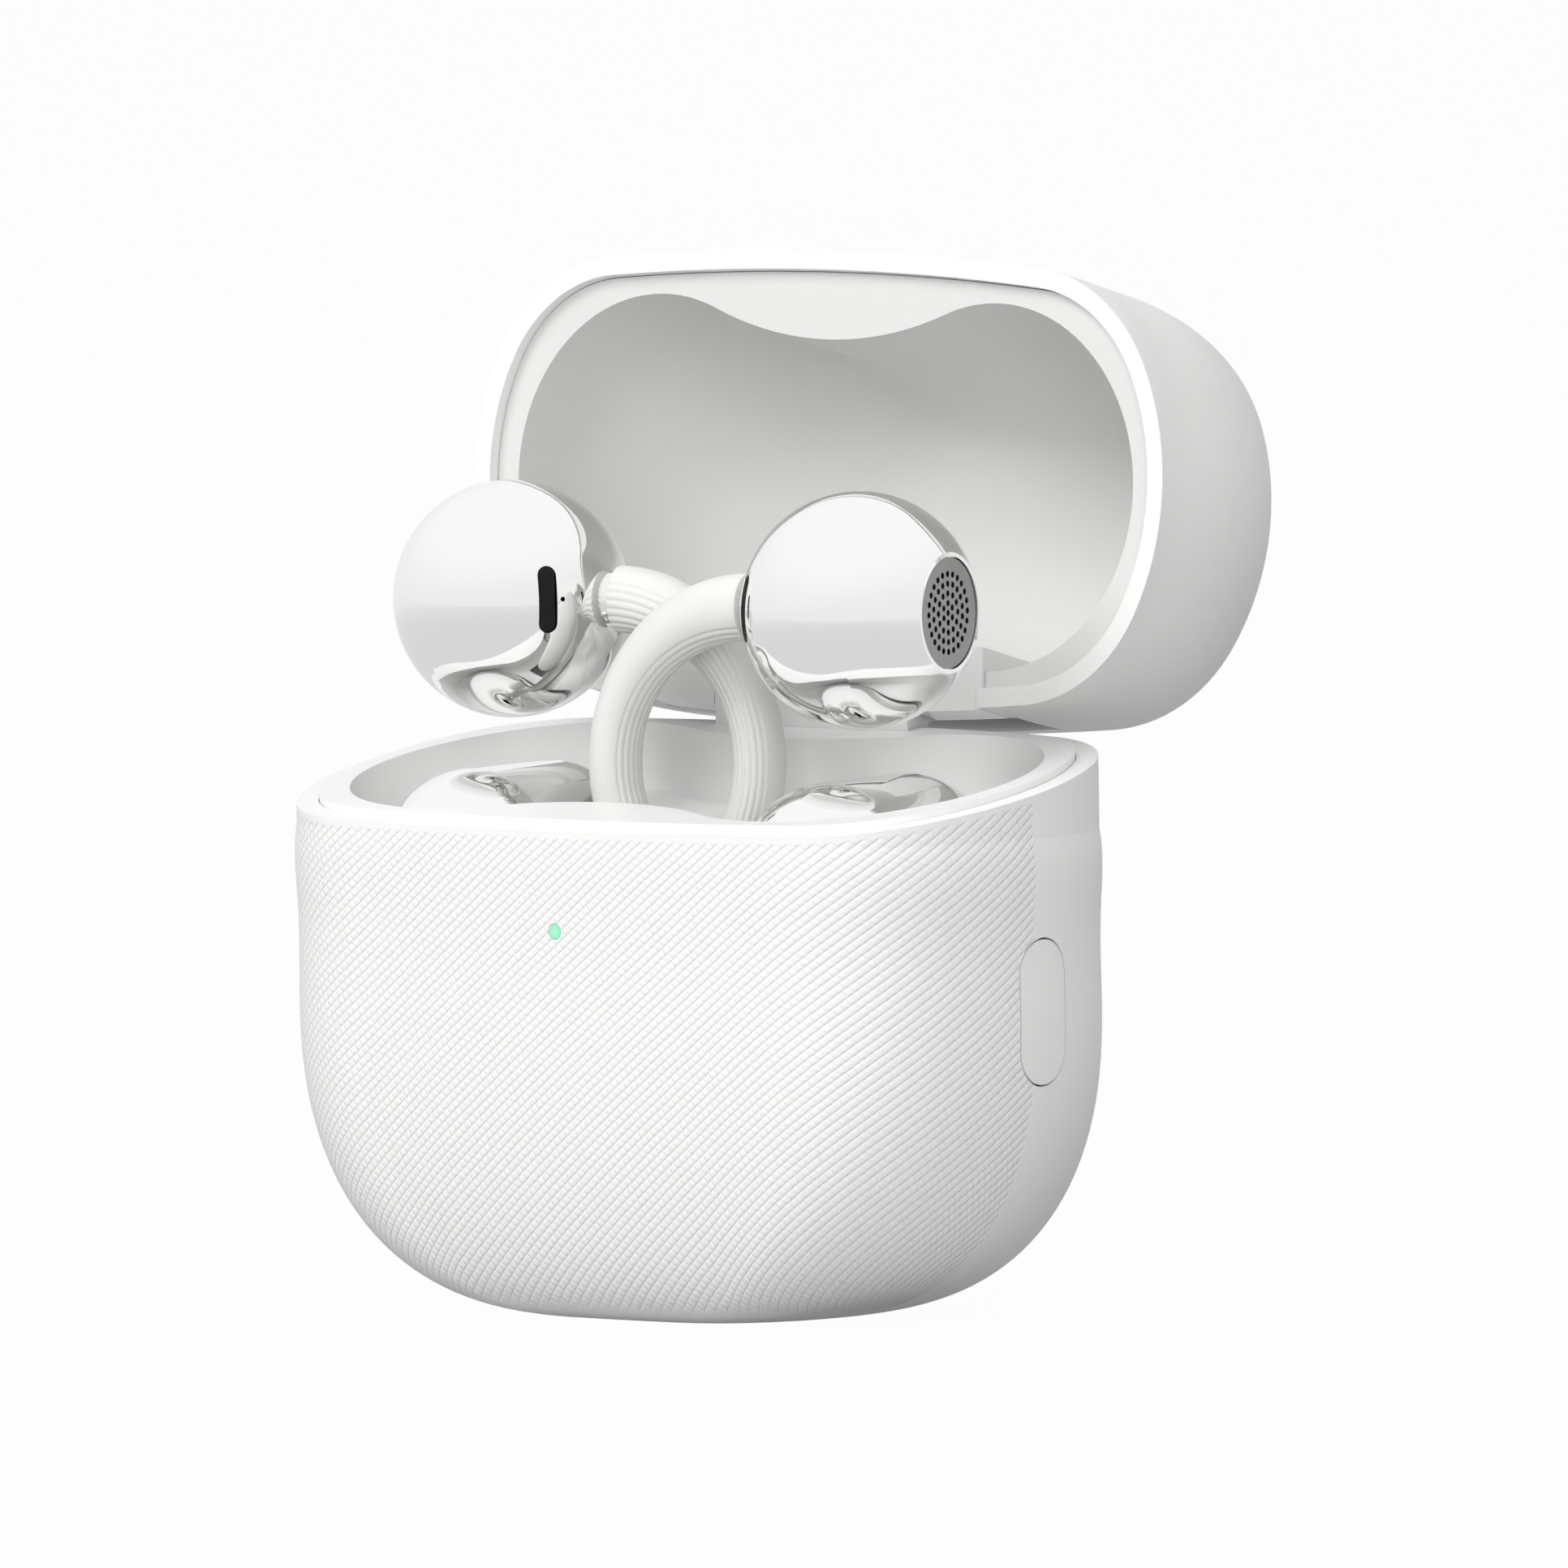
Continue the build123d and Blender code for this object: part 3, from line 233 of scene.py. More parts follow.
class Graph:
    """The nodes of one material or world, built by code."""

    def __init__(self, owner: bpy.types.Material | bpy.types.World) -> None:
        """Start an empty graph.

        Args:
            owner: the material or world whose nodes these are.
        """
        owner.use_nodes = True
        self.owner = owner
        self.tree = owner.node_tree
        self.tree.nodes.clear()

    def node(
        self,
        kind: str,
        settings: Mapping[str, Any] | None = None,
        inputs: Mapping[Union[str, int], Any] | None = None,
    ) -> bpy.types.Node:
        """Add a node.

        Args:
            kind: the node's type.
            settings: its properties, set before its inputs.
            inputs: numbers, colours, sockets or values for its inputs, by name or index.

        Returns:
            The new node.
        """
        node = self.tree.nodes.new(kind)
        for key, setting in (settings or {}).items():
            setattr(node, key, setting)
        for key, value in (inputs or {}).items():
            self._feed(node.inputs[key], value)
        return node

    def _feed(self, socket: bpy.types.NodeSocket, value: Any) -> None:
        """Link a value or a socket to an input, or set the input to a constant.

        Args:
            socket: the input.
            value: what it gets: a value, a socket, a number, a vector or a colour.
        """
        if isinstance(value, Value):
            self.tree.links.new(value.socket, socket)
        elif isinstance(value, bpy.types.NodeSocket):
            self.tree.links.new(value, socket)
        elif socket.type == "RGBA":
            socket.default_value = (*value, 1.0)
        else:
            socket.default_value = value

    def maths(self, operation: str, *operands: Operand) -> Value:
        """Value of a Math node.

        Args:
            operation: the node's operation.
            operands: what it works on.

        Returns:
            The result.
        """
        node = self.node("ShaderNodeMath", {"operation": operation}, dict(enumerate(operands)))
        return Value(self, node.outputs[0])

    def place(self, centre: Sequence[float] = (0, 0, 0)) -> bpy.types.NodeSocket:
        """Place on the object in millimetres, from a centre.

        Args:
            centre: point that becomes zero, in millimetres.

        Returns:
            The vector socket.
        """
        coordinates = self.node("ShaderNodeTexCoord").outputs["Object"]
        mapping = self.node(
            "ShaderNodeMapping",
            {"vector_type": "TEXTURE"},
            {
                "Vector": coordinates,
                "Location": tuple(part * MM for part in centre),
                "Scale": (MM, MM, MM),
            },
        )
        return mapping.outputs[0]

    def split(self, vector: bpy.types.NodeSocket) -> tuple[Value, Value, Value]:
        """The three parts of a vector."""
        node = self.node("ShaderNodeSeparateXYZ", None, {0: vector})
        return tuple(Value(self, output) for output in node.outputs)

    def noise(self, vector: bpy.types.NodeSocket, pitch: float, detail: float = 2.0) -> Value:
        """Cloudy noise from zero to one.

        Args:
            vector: place in millimetres.
            pitch: size of a cloud, in millimetres.
            detail: how many finer layers it has.

        Returns:
            The noise.
        """
        node = self.node(
            "ShaderNodeTexNoise", None, {"Vector": vector, "Scale": 1 / pitch, "Detail": detail}
        )
        return Value(self, node.outputs[0])

    def cells(self, vector: bpy.types.NodeSocket, pitch: float) -> Value:
        """Distance to the nearest of scattered cell centres, about zero to one."""
        node = self.node("ShaderNodeTexVoronoi", None, {"Vector": vector, "Scale": 1 / pitch})
        return Value(self, node.outputs["Distance"])

    def tint(self, factor: Operand, low: Colour, high: Colour) -> bpy.types.NodeSocket:
        """Colour between two colours.

        Args:
            factor: zero for the low colour and one for the high colour.
            low: first colour.
            high: second colour.

        Returns:
            The colour socket.
        """
        inputs = {"Factor": factor, MIX_LOW: low, MIX_HIGH: high}
        return self.node("ShaderNodeMix", {"data_type": "RGBA"}, inputs).outputs[MIX_RESULT]

    def bump(self, height: Value, depth: float) -> bpy.types.NodeSocket:
        """Normal of a fine relief.

        Args:
            height: the relief, from zero to one.
            depth: how deep one is, in millimetres.

        Returns:
            The normal socket.
        """
        inputs = {"Height": height, "Distance": depth * MM, "Strength": 1.0}
        return self.node("ShaderNodeBump", None, inputs).outputs[0]

    def distance(self) -> Value:
        """Distance from the object's origin.

        Returns:
            The distance, in metres.
        """
        spot = self.node("ShaderNodeTexCoord").outputs["Object"]
        length = self.node("ShaderNodeVectorMath", {"operation": "LENGTH"}, {0: spot})
        return Value(self, length.outputs["Value"])

    def ray(self, kind: Ray) -> Value:
        """One for the rays of a kind, and zero for the others."""
        return Value(self, self.node("ShaderNodeLightPath").outputs[kind.value])

    def seen(self) -> Value:
        """One for the rays of the camera, of reflections and of glass."""
        return (self.ray(Ray.CAMERA) + self.ray(Ray.GLOSSY) + self.ray(Ray.TRANSMISSION)).at_most(1)

    def finish(self, **inputs: Any) -> bpy.types.Material:
        """Close the graph with a surface shader.

        Args:
            inputs: its inputs, with underscores for the spaces in their names.

        Returns:
            The material.
        """
        named = {key.replace("_", " "): value for key, value in inputs.items()}
        shader = self.node("ShaderNodeBsdfPrincipled", None, named)
        self.node("ShaderNodeOutputMaterial", None, {"Surface": shader.outputs[0]})
        return self.owner


def scaled(colour: Colour, amount: float) -> Colour:
    """A colour made lighter or darker by an amount."""
    return tuple(min(1.0, part * amount) for part in colour)


@dataclass(frozen=True)
class Finish:
    """A finish of the case or the earbuds, as its makers would name it."""

    name: str
    slot: str
    colour: Colour
    roughness: float

    def material(self) -> bpy.types.Material:
        """The finish's material, made once."""
        made = bpy.data.materials.get(self.name)
        return made or self.build(Graph(bpy.data.materials.new(self.name)))

    def build(self, graph: Graph) -> bpy.types.Material:
        """Draw the finish. Each kind of finish has its own way."""
        raise NotImplementedError


@dataclass(frozen=True)
class MouldedPlastic(Finish):
    """Smooth moulded plastic with a barely uneven skin."""

    coat: float = 0.0
    grain: float = 0.35
    depth: float = 0.004

    def build(self, graph: Graph) -> bpy.types.Material:
        """Draw faint clouding in colour and gloss, and a fine skin.

        Args:
            graph: the new material's empty graph.

        Returns:
            The material.
        """
        place = graph.place()
        cloud = graph.noise(place, 6.0)
        skin = graph.noise(place, self.grain, 3.0)
        return graph.finish(
            Base_Color=graph.tint(cloud, scaled(self.colour, 0.985), scaled(self.colour, 1.01)),
            Roughness=self.roughness + (cloud - 0.5) * 0.08,
            Coat_Weight=self.coat,
            Coat_Roughness=0.12,
            Normal=graph.bump(skin, self.depth),
        )


@dataclass(frozen=True)
class TwillShell(Finish):
    """White plastic of the base, with a moulded twill on its front."""

    pitch: float = 0.46
    slope: float = 38.0
    yarn: float = 0.46
    stagger: float = 0.37
    stitch_depth: float = 0.38
    stitch_blur: float = 0.6
    sway: float = 0.05
    sway_pitch: float = 3.0
    depth: float = 0.07
    end_start: float = 9.55
    end_radius: float = 15.45
    edge: float = -0.8
    edge_blur: float = 0.15
    band: float = 0.4
    band_blur: float = 0.12
    foot: float = 0.9
    foot_blur: float = 0.4
    border_height: float = 0.9
    grit: float = 0.18
    grit_height: float = 0.06

    def around(self, x: Value, y: Value) -> Value:
        """Distance round the case from the middle of its front.

        Args:
            x: place across the case, in millimetres.
            y: place from its front to its back, in millimetres.

        Returns:
            The distance in millimetres, negative on the left.
        """
        beyond = (abs(x) - self.end_start).at_least(0)
        turn = beyond.arctan2(-y + (self.end_radius - HALF_DEPTH))
        bent = turn * self.end_radius
        sign = (x > 0) * 2 - 1
        return sign * (abs(x).at_most(self.end_start) + bent)

    def build(self, graph: Graph) -> bpy.types.Material:
        """Draw the twill, its plain borders and the shell's own skin.

        Args:
            graph: the new material's empty graph.

        Returns:
            The material.
        """
        place = graph.place()
        x, y, z = graph.split(place)
        along = self.around(x, y)
        lean = math.radians(self.slope)
        across = along * math.sin(lean) - z * math.cos(lean)
        length = along * math.cos(lean) + z * math.sin(lean)
        swayed = across + (graph.noise(place, self.sway_pitch) - 0.5) * self.sway
        rib = swayed.wave(self.pitch, Wave.ROUND)
        row = (swayed / self.pitch).floor()
        stitch = (length / self.yarn + row * self.stagger).wave(1.0, Wave.RIDGE)
        crossing = self.stitch_depth * stitch.step(0.0, self.stitch_blur)
        weave = rib * (1 - self.stitch_depth + crossing)
        rim = y * math.tan(math.radians(PARTING_TILT)) + RIM_HEIGHT - self.band
        covered = (
            (z - rim).step(self.band_blur, -self.band_blur)
            * (y - self.edge).step(self.edge_blur, -self.edge_blur)
            * z.step(self.foot - self.foot_blur, self.foot + self.foot_blur)
        )
        skin = graph.noise(place, self.grit, 3.0)
        border = (1 - covered) * self.border_height
        relief = weave * covered + border + skin * self.grit_height
        # Painted shade: the twill's grooves are coloured a touch darker than its ridges, standing
        # in for the shade in them.
        painted_groove_shade = weave * covered + (1 - covered)
        return graph.finish(
            Base_Color=graph.tint(painted_groove_shade, scaled(self.colour, 0.996), self.colour),
            Roughness=self.roughness + covered * 0.12 + (skin - 0.5) * 0.05,
            Normal=graph.bump(relief, self.depth),
        )


@dataclass(frozen=True)
class LeatherGrain(Finish):
    """White plastic of the lid, moulded with a fine leather grain."""

    grain: float = 0.3
    depth: float = 0.025

    def build(self, graph: Graph) -> bpy.types.Material:
        """Draw small rounded cells with finer pores between them.

        Args:
            graph: the new material's empty graph.

        Returns:
            The material.
        """
        place = graph.place()
        cells = graph.cells(place, self.grain)
        folds = graph.noise(place, self.grain * 2.4, 3.0)
        relief = (1 - cells.at_most(1)) * 0.6 + folds * 0.4
        return graph.finish(
            Base_Color=graph.tint(relief, scaled(self.colour, 0.975), self.colour),
            Roughness=self.roughness + (folds - 0.5) * 0.1,
            Normal=graph.bump(relief, self.depth),
        )


@dataclass(frozen=True)
class Mirror(Finish):
    """Polished plating, with the faintest haze."""

    edge: Colour = (1.0, 1.0, 1.0)

    def build(self, graph: Graph) -> bpy.types.Material:
        """Draw a mirror whose gloss varies a little.

        Args:
            graph: the new material's empty graph.

        Returns:
            The material.
        """
        haze = graph.noise(graph.place(), 4.0, 3.0)
        return graph.finish(
            Base_Color=graph.tint(haze, scaled(self.colour, 0.996), self.colour),
            Metallic=1.0,
            Specular_Tint=self.edge,
            Roughness=self.roughness * (0.7 + 0.6 * haze),
        )


@dataclass(frozen=True)
class SoftSilicone(Finish):
    """Soft white silicone with a dry, velvety skin."""

    def build(self, graph: Graph) -> bpy.types.Material:
        """Draw a dusty skin.

        Args:
            graph: the new material's empty graph.

        Returns:
            The material.
        """
        place = graph.place()
        dust = graph.noise(place, 0.12, 3.0)
        cloud = graph.noise(place, 3.0)
        return graph.finish(
            Base_Color=graph.tint(cloud, scaled(self.colour, 0.98), self.colour),
            Roughness=self.roughness + (dust - 0.5) * 0.1,
            Sheen_Weight=0.15,
            Sheen_Roughness=0.4,
            Normal=graph.bump(dust, 0.006),
        )


@dataclass(frozen=True)
class DrawnMetal(Finish):
    """Metal with fine draw lines."""

    line: float = 0.08
    stretch: float = 0.06

    def build(self, graph: Graph) -> bpy.types.Material:
        """Draw lines that run along Z, with a little haze.

        Args:
            graph: the new material's empty graph.

        Returns:
            The material.
        """
        stretched = graph.node(
            "ShaderNodeVectorMath",
            {"operation": "MULTIPLY"},
            {0: graph.place(), 1: (1.0, 1.0, self.stretch)},
        ).outputs[0]
        lines = graph.noise(stretched, self.line, 2.0)
        return graph.finish(
            Base_Color=graph.tint(lines, scaled(self.colour, 0.9), self.colour),
            Metallic=1.0,
            Roughness=self.roughness + (lines - 0.5) * 0.12,
            Normal=graph.bump(lines, 0.003),
        )


@dataclass(frozen=True)
class WovenMesh(Finish):
    """Black acoustic mesh, woven over and under."""

    pitch: float = 0.09

    def build(self, graph: Graph) -> bpy.types.Material:
        """Draw two crossing sets of wires.

        Args:
            graph: the new material's empty graph.

        Returns:
            The material.
        """
        x, y, z = graph.split(graph.place())
        weave = (x + y).wave(self.pitch, Wave.ROUND) * z.wave(self.pitch, Wave.ROUND)
        return graph.finish(
            Base_Color=graph.tint(weave, scaled(self.colour, 0.3), self.colour),
            Roughness=self.roughness + weave * 0.1,
            Normal=graph.bump(weave, 0.02),
        )


@dataclass(frozen=True)
class LitLamp(Finish):
    """Light guide, lit from behind."""

    glow: Colour = (0.3, 0.74, 0.5)
    brightness: float = 0.9
    centre: tuple[float, float, float] = (0.0, -HALF_DEPTH, 22.45)
    radius: float = 0.425

    def build(self, graph: Graph) -> bpy.types.Material:
        """Draw a light that is softer at its rim.

        Args:
            graph: the new material's empty graph.

        Returns:
            The material.
        """
        x, _, z = graph.split(graph.place(self.centre))
        off = (x * x + z * z).root() / self.radius
        rim = off.at_most(1)
        return graph.finish(
            Base_Color=graph.tint(rim, self.colour, scaled(self.colour, 0.9)),
            Roughness=self.roughness + off * 0.05,
            Emission_Color=graph.tint(rim, self.glow, scaled(self.glow, 0.8)),
            Emission_Strength=self.brightness,
        )


@dataclass(frozen=True)
class SolderMask(Finish):
    """Circuit board with copper traces under its mask."""

    pitch: float = 0.9

    def build(self, graph: Graph) -> bpy.types.Material:
        """Draw traces as a faint lighter pattern.

        Args:
            graph: the new material's empty graph.

        Returns:
            The material.
        """
        place = graph.place()
        x, _, z = graph.split(place)
        lanes = (x + z).wave(self.pitch, Wave.RIDGE).step(0.55, 0.65)
        gaps = graph.noise(place, 2.5).step(0.45, 0.55)
        trace = lanes * gaps
        return graph.finish(
            Base_Color=graph.tint(trace, self.colour, scaled(self.colour, 1.8)),
            Roughness=self.roughness - trace * 0.05,
            Normal=graph.bump(trace, 0.03),
        )


@dataclass(frozen=True)
class WoundWire(Finish):
    """Enamelled wire laid side by side in rings."""

    centre: tuple[float, float, float] = (0.0, 0.0, 14.0)
    pitch: float = 0.35

    def build(self, graph: Graph) -> bpy.types.Material:
        """Draw each turn of the wire as a round ridge.

        Args:
            graph: the new material's empty graph.

        Returns:
            The material.
        """
        x, _, z = graph.split(graph.place(self.centre))
        ring = (x * x + z * z).root().wave(self.pitch, Wave.ROUND)
        return graph.finish(
            Base_Color=graph.tint(ring, scaled(self.colour, 0.35), self.colour),
            Metallic=0.9,
            Roughness=self.roughness - ring * 0.08,
            Normal=graph.bump(ring, 0.12),
        )


@dataclass(frozen=True)
class FoamPad(Finish):
    """Open black foam."""

    def build(self, graph: Graph) -> bpy.types.Material:
        """Draw round pores.

        Args:
            graph: the new material's empty graph.

        Returns:
            The material.
        """
        pores = graph.cells(graph.place(), 0.3).at_most(1)
        return graph.finish(
            Base_Color=graph.tint(pores, scaled(self.colour, 0.4), self.colour),
            Roughness=self.roughness - pores * 0.05,
            Normal=graph.bump(pores, 0.15),
        )


WHITE = (0.86, 0.857, 0.848)

BASE_SHELL = TwillShell("base_twill", "case_shell", WHITE, 0.5)
# Painted light: the lid is the base's white plastic made 2% lighter, standing in for more light on
# the lid's outside.
LID_SHELL_PAINTED_LIGHTER = LeatherGrain("lid_leather_grain", "lid_grain", scaled(WHITE, 1.02), 0.55)
PLAIN_SHELL = MouldedPlastic("button_plastic", "case_shell", WHITE, 0.5)
TRIM = MouldedPlastic("satin_trim", "case_trim", (0.82, 0.818, 0.812), 0.32, coat=0.15)
# Painted light: the tray is the satin trim's plastic made lighter, standing in for light that falls
# into the shaded tray.
TRAY_PAINTED_LIGHTER = MouldedPlastic("tray_plastic", "case_trim", (0.86, 0.858, 0.852), 0.34, coat=0.1)
LINING = MouldedPlastic("lining_plastic", "lid_lining", (0.72, 0.716, 0.708), 0.45)
DARK_MIRROR = Mirror(
    "hinge_plating", "polished_hinge", (0.12, 0.12, 0.123), 0.1, edge=(0.4, 0.4, 0.41)
)
BUD_MIRROR = Mirror("mirror_plating", "polished_shell", (0.94, 0.938, 0.933), 0.04)
SLEEVE = SoftSilicone("ribbed_silicone", "soft_sleeve", (0.74, 0.733, 0.717), 0.6)
GRILLE = DrawnMetal("perforated_metal", "grille_metal", (0.355, 0.353, 0.348), 0.34)
MESH = WovenMesh("acoustic_mesh", "black_mesh", (0.01, 0.01, 0.01), 0.8)
LAMP = LitLamp("status_lamp", "lamp_lens", (0.12, 0.3, 0.2), 0.3)
BOARD = SolderMask("green_board", "circuit_board", (0.03, 0.16, 0.09), 0.4)
SOCKET = DrawnMetal("drawn_steel", "socket_steel", (0.6, 0.6, 0.6), 0.28)
SPRING = DrawnMetal("spring_wire", "spring_steel", (0.55, 0.55, 0.56), 0.25)
CELL = MouldedPlastic("cell_wrap", "battery_wrap", (0.2, 0.21, 0.23), 0.45)
FOAM = FoamPad("foam_pad", "black_foam", (0.06, 0.06, 0.06), 0.95)
COPPER = WoundWire("enamelled_copper", "copper_winding", (0.72, 0.35, 0.18), 0.35)
FERRITE = MouldedPlastic("ferrite_sheet", "ferrite", (0.09, 0.09, 0.1), 0.7)
MAGNET = DrawnMetal("nickel_magnet", "magnet_nickel", (0.66, 0.65, 0.62), 0.3)
BLACK = MouldedPlastic("black_moulding", "black_plastic", (0.035, 0.035, 0.037), 0.4)
GOLD = DrawnMetal("gold_plating", "gold_contact", (0.83, 0.62, 0.28), 0.22)


class Workshop:
    """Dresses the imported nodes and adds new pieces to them."""

    def __init__(self, frame: Mapping[str, Any]) -> None:
        """Take up the loaded frame.
        """
        self.nodes: Mapping[str, bpy.types.Object] = frame["nodes"]

    def dress(self, node: str, finish: Finish) -> None:
        """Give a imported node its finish.

        Args:
            node: the node's name.
            finish: its finish.
        """
        mesh = self.nodes[node].data
        if not mesh.materials:
            mesh.materials.append(None)
        for index in range(len(mesh.materials)):
            mesh.materials[index] = finish.material()
        LOG.info("dressed %s in %s", node, finish.name)

    def add(
        self, name: str, mesh: bmesh.types.BMesh, finish: Finish, body: str, node: str
    ) -> None:
        """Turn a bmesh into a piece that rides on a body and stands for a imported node.

        Args:
            name: the piece's name.
            mesh: its shape in metres, which is freed.
            finish: its finish.
            body: the body it rides on.
            node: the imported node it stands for.
        """
        bmesh.ops.remove_doubles(mesh, verts=mesh.verts, dist=0.001 * MM)
        bmesh.ops.recalc_face_normals(mesh, faces=mesh.faces)
        for face in mesh.faces:
            face.smooth = True
        data = bpy.data.meshes.new(name)
        mesh.to_mesh(data)
        mesh.free()
        data.materials.append(finish.material())
        piece = bpy.data.objects.new(name, data)
        bpy.context.scene.collection.objects.link(piece)
        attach(piece, body)
        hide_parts(node)
        LOG.info("made %s, %d faces", name, len(data.polygons))


@dataclass
class DressedGroup:
    """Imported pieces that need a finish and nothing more."""

    FINISHES: ClassVar[Mapping[str, Finish]] = {}

    workshop: Workshop

    def build(self) -> None:
        """Dress every piece of the group."""
        for node, finish in self.FINISHES.items():
            self.workshop.dress(node, finish)


class BaseCase(DressedGroup):
    """The lower half of the case and what it holds."""

    FINISHES: ClassVar[Mapping[str, Finish]] = {
        "base_shell": BASE_SHELL,
        "charging_tray": TRAY_PAINTED_LIGHTER,
        "hinge_block": TRIM,
        "hinge_spring": SPRING,
        "status_lamp": LAMP,
        "lamp_board": BOARD,
        "usb_c_socket": SOCKET,
        "main_board": BOARD,
        "board_shield": SOCKET,
        "case_battery": CELL,
        "battery_foam": FOAM,
        "charging_coil": COPPER,
        "coil_ferrite": FERRITE,
        "base_magnet": MAGNET,
        "bud_magnets": MAGNET,
        "button_switch": BLACK,
        "button_board": BOARD,
        "button_cap": PLAIN_SHELL,
        "probe_block_right": BLACK,
        "probe_block_left": BLACK,
        "probe_pins_right": GOLD,
        "probe_pins_left": GOLD,
    }


class HingedLid(DressedGroup):
    """The lid, its lining and the moving half of the hinge."""

    FINISHES: ClassVar[Mapping[str, Finish]] = {
        "lid_shell": LID_SHELL_PAINTED_LIGHTER,
        "lid_liner": LINING,
        "hinge_frame": TRIM,
        "hinge_plate": DARK_MIRROR,
        "hinge_pin": SPRING,
        "lid_magnet": MAGNET,
    }


@dataclass
class ClipEarbud:
    """One earbud: a ball, a bar and the bridge that joins them."""

    FINISHES: ClassVar[Mapping[str, Finish]] = {
        "ball_front": BUD_MIRROR,
        "ball_back": BUD_MIRROR,
        "speaker_grille": GRILLE,
        "speaker_driver": BLACK,
        "ball_board": BOARD,
        "slot_meshes": MESH,
        "bridge_neck": BUD_MIRROR,
        "bridge_sleeve": SLEEVE,
        "bridge_wire": SPRING,
        "bean_top": BUD_MIRROR,
        "bean_bottom": BUD_MIRROR,
        "bean_pads": GOLD,
        "bean_battery": CELL,
    }

    workshop: Workshop
    side: Side
    apart: float = 12.67
    forward: float = 0.72
    turn: float = 9.0
    bridge_radius: float = 9.0
    bridge_centre: tuple[float, float, float] = (-7.08, 0.0, 0.98)
    bridge_section: tuple[float, float] = (3.85, 3.6)
    bridge_narrow: tuple[float, float] = (2.9, 3.4)
    bridge_taper: float = 80.0
    bridge_start: float = 0.5
    bridge_end: float = 204.0
    rib_count: int = 15
    rib_spread: float = 217.0
    rib_turn: float = 41.5
    rib_depth: float = 0.11
    rib_fade: float = 0.35
    rib_steps: int = 6
    bridge_steps: int = 72
    cap_round: float = 0.18
    cap_segments: int = 3

    @property
    def place(self) -> Matrix:
        """Where the earbud sits in the case.

        Returns:
            The turn and place, in metres.
        """
        turn = self.turn if self.side is Side.RIGHT else self.turn + 180
        seat = Vector((self.side.value * self.apart, -self.forward, RIM_HEIGHT)) * MM
        return Matrix.Translation(seat) @ Matrix.Rotation(math.radians(turn), 4, "Z")

    def ribbed_section(self, mesh: bmesh.types.BMesh) -> None:
        """Draw the sleeve's section, smooth on one part and ribbed on the other.

        Args:
            mesh: an empty bmesh, which gets a ring in the XY plane, its inner side towards +X.
        """
        count = round(360 / self.rib_spread * self.rib_count * self.rib_steps)
        bmesh.ops.create_circle(mesh, segments=count, radius=1.0)
        half, turn = math.radians(self.rib_spread) / 2, math.radians(self.rib_turn)
        for vert in mesh.verts:
            angle = math.remainder(math.atan2(vert.co.y, vert.co.x) - turn, 2 * math.pi)
            rib = (angle + half) / (2 * half) * self.rib_count
            crest = math.sqrt(abs(math.sin(math.pi * rib)))
            fade = max(0.0, min(1.0, (half - abs(angle)) / self.rib_fade))
            groove = self.rib_depth * (1 - crest) * fade
            wide, thick = (size / 2 - groove for size in self.bridge_section)
            vert.co = Vector((vert.co.x * wide, vert.co.y * thick, 0)) * MM

    def narrow(self, mesh: bmesh.types.BMesh) -> None:
        """Narrow the swept sleeve from its start into an even width.

        Args:
            mesh: the sleeve, swept about the origin in the XZ plane.
        """
        radius = self.bridge_radius * MM
        ratios = [after / before for before, after in zip(self.bridge_section, self.bridge_narrow)]
        for vert in mesh.verts:
            angle = math.degrees(math.atan2(-vert.co.x, vert.co.z)) % 360
            before_start = angle > (self.bridge_end + 360) / 2
            along = max(0.0, min(1.0, (angle - self.bridge_start) / self.bridge_taper))
            eased = 0.0 if before_start else along * along * (3 - 2 * along)
            wide, thick = (1 + (ratio - 1) * eased for ratio in ratios)
            out = math.hypot(vert.co.x, vert.co.z)
            scale = (radius + (out - radius) * wide) / out
            vert.co = Vector((vert.co.x * scale, vert.co.y * thick, vert.co.z * scale))

    def round_caps(self, mesh: bmesh.types.BMesh) -> None:
        """Round the rims of the sleeve's two end faces.

        Args:
            mesh: the closed sleeve, whose end faces alone have more than four corners.
        """
        caps = [face for face in mesh.faces if len(face.verts) > 4]
        bmesh.ops.bevel(
            mesh,
            geom=[edge for face in caps for edge in face.edges],
            offset=self.cap_round * MM,
            segments=self.cap_segments,
            profile=0.5,
            affect="EDGES",
            material=-1,
            clamp_overlap=True,
        )

    def sleeve(self) -> bmesh.types.BMesh:
        """The bridge's soft sleeve, with lengthwise ribs.

        Returns:
            The sleeve where the earbud sits, in metres.
        """
        mesh = bmesh.new()
        self.ribbed_section(mesh)
        start, end = math.radians(self.bridge_start), math.radians(self.bridge_end)
        outwards = Vector((-math.sin(start), 0, math.cos(start))) * self.bridge_radius * MM
        facing = Matrix.Rotation(math.pi / 2 - start, 4, "Y")
        bmesh.ops.transform(mesh, matrix=Matrix.Translation(outwards) @ facing, verts=mesh.verts)
        ring = list(mesh.edges)
        bmesh.ops.contextual_create(mesh, geom=ring)
        swept = bmesh.ops.spin(
            mesh,
            geom=ring,
            cent=(0, 0, 0),
            axis=(0, -1, 0),
            angle=end - start,
            steps=self.bridge_steps,
            use_merge=False,
            use_duplicate=False,
        )
        self.narrow(mesh)
        last = [item for item in swept["geom_last"] if isinstance(item, bmesh.types.BMEdge)]
        bmesh.ops.contextual_create(mesh, geom=last)
        self.round_caps(mesh)
        centre = Matrix.Translation(Vector(self.bridge_centre) * MM)
        bmesh.ops.transform(mesh, matrix=self.place @ centre, verts=mesh.verts)
        return mesh

    def build(self) -> None:
        """Make the sleeve and dress the rest."""
        for piece, finish in self.FINISHES.items():
            if piece != "bridge_sleeve":
                self.workshop.dress(self.side.node(piece), finish)
        name = self.side.node("ribbed_sleeve")
        replaced = self.side.node("bridge_sleeve")
        self.workshop.add(name, self.sleeve(), SLEEVE, self.side.body, replaced)


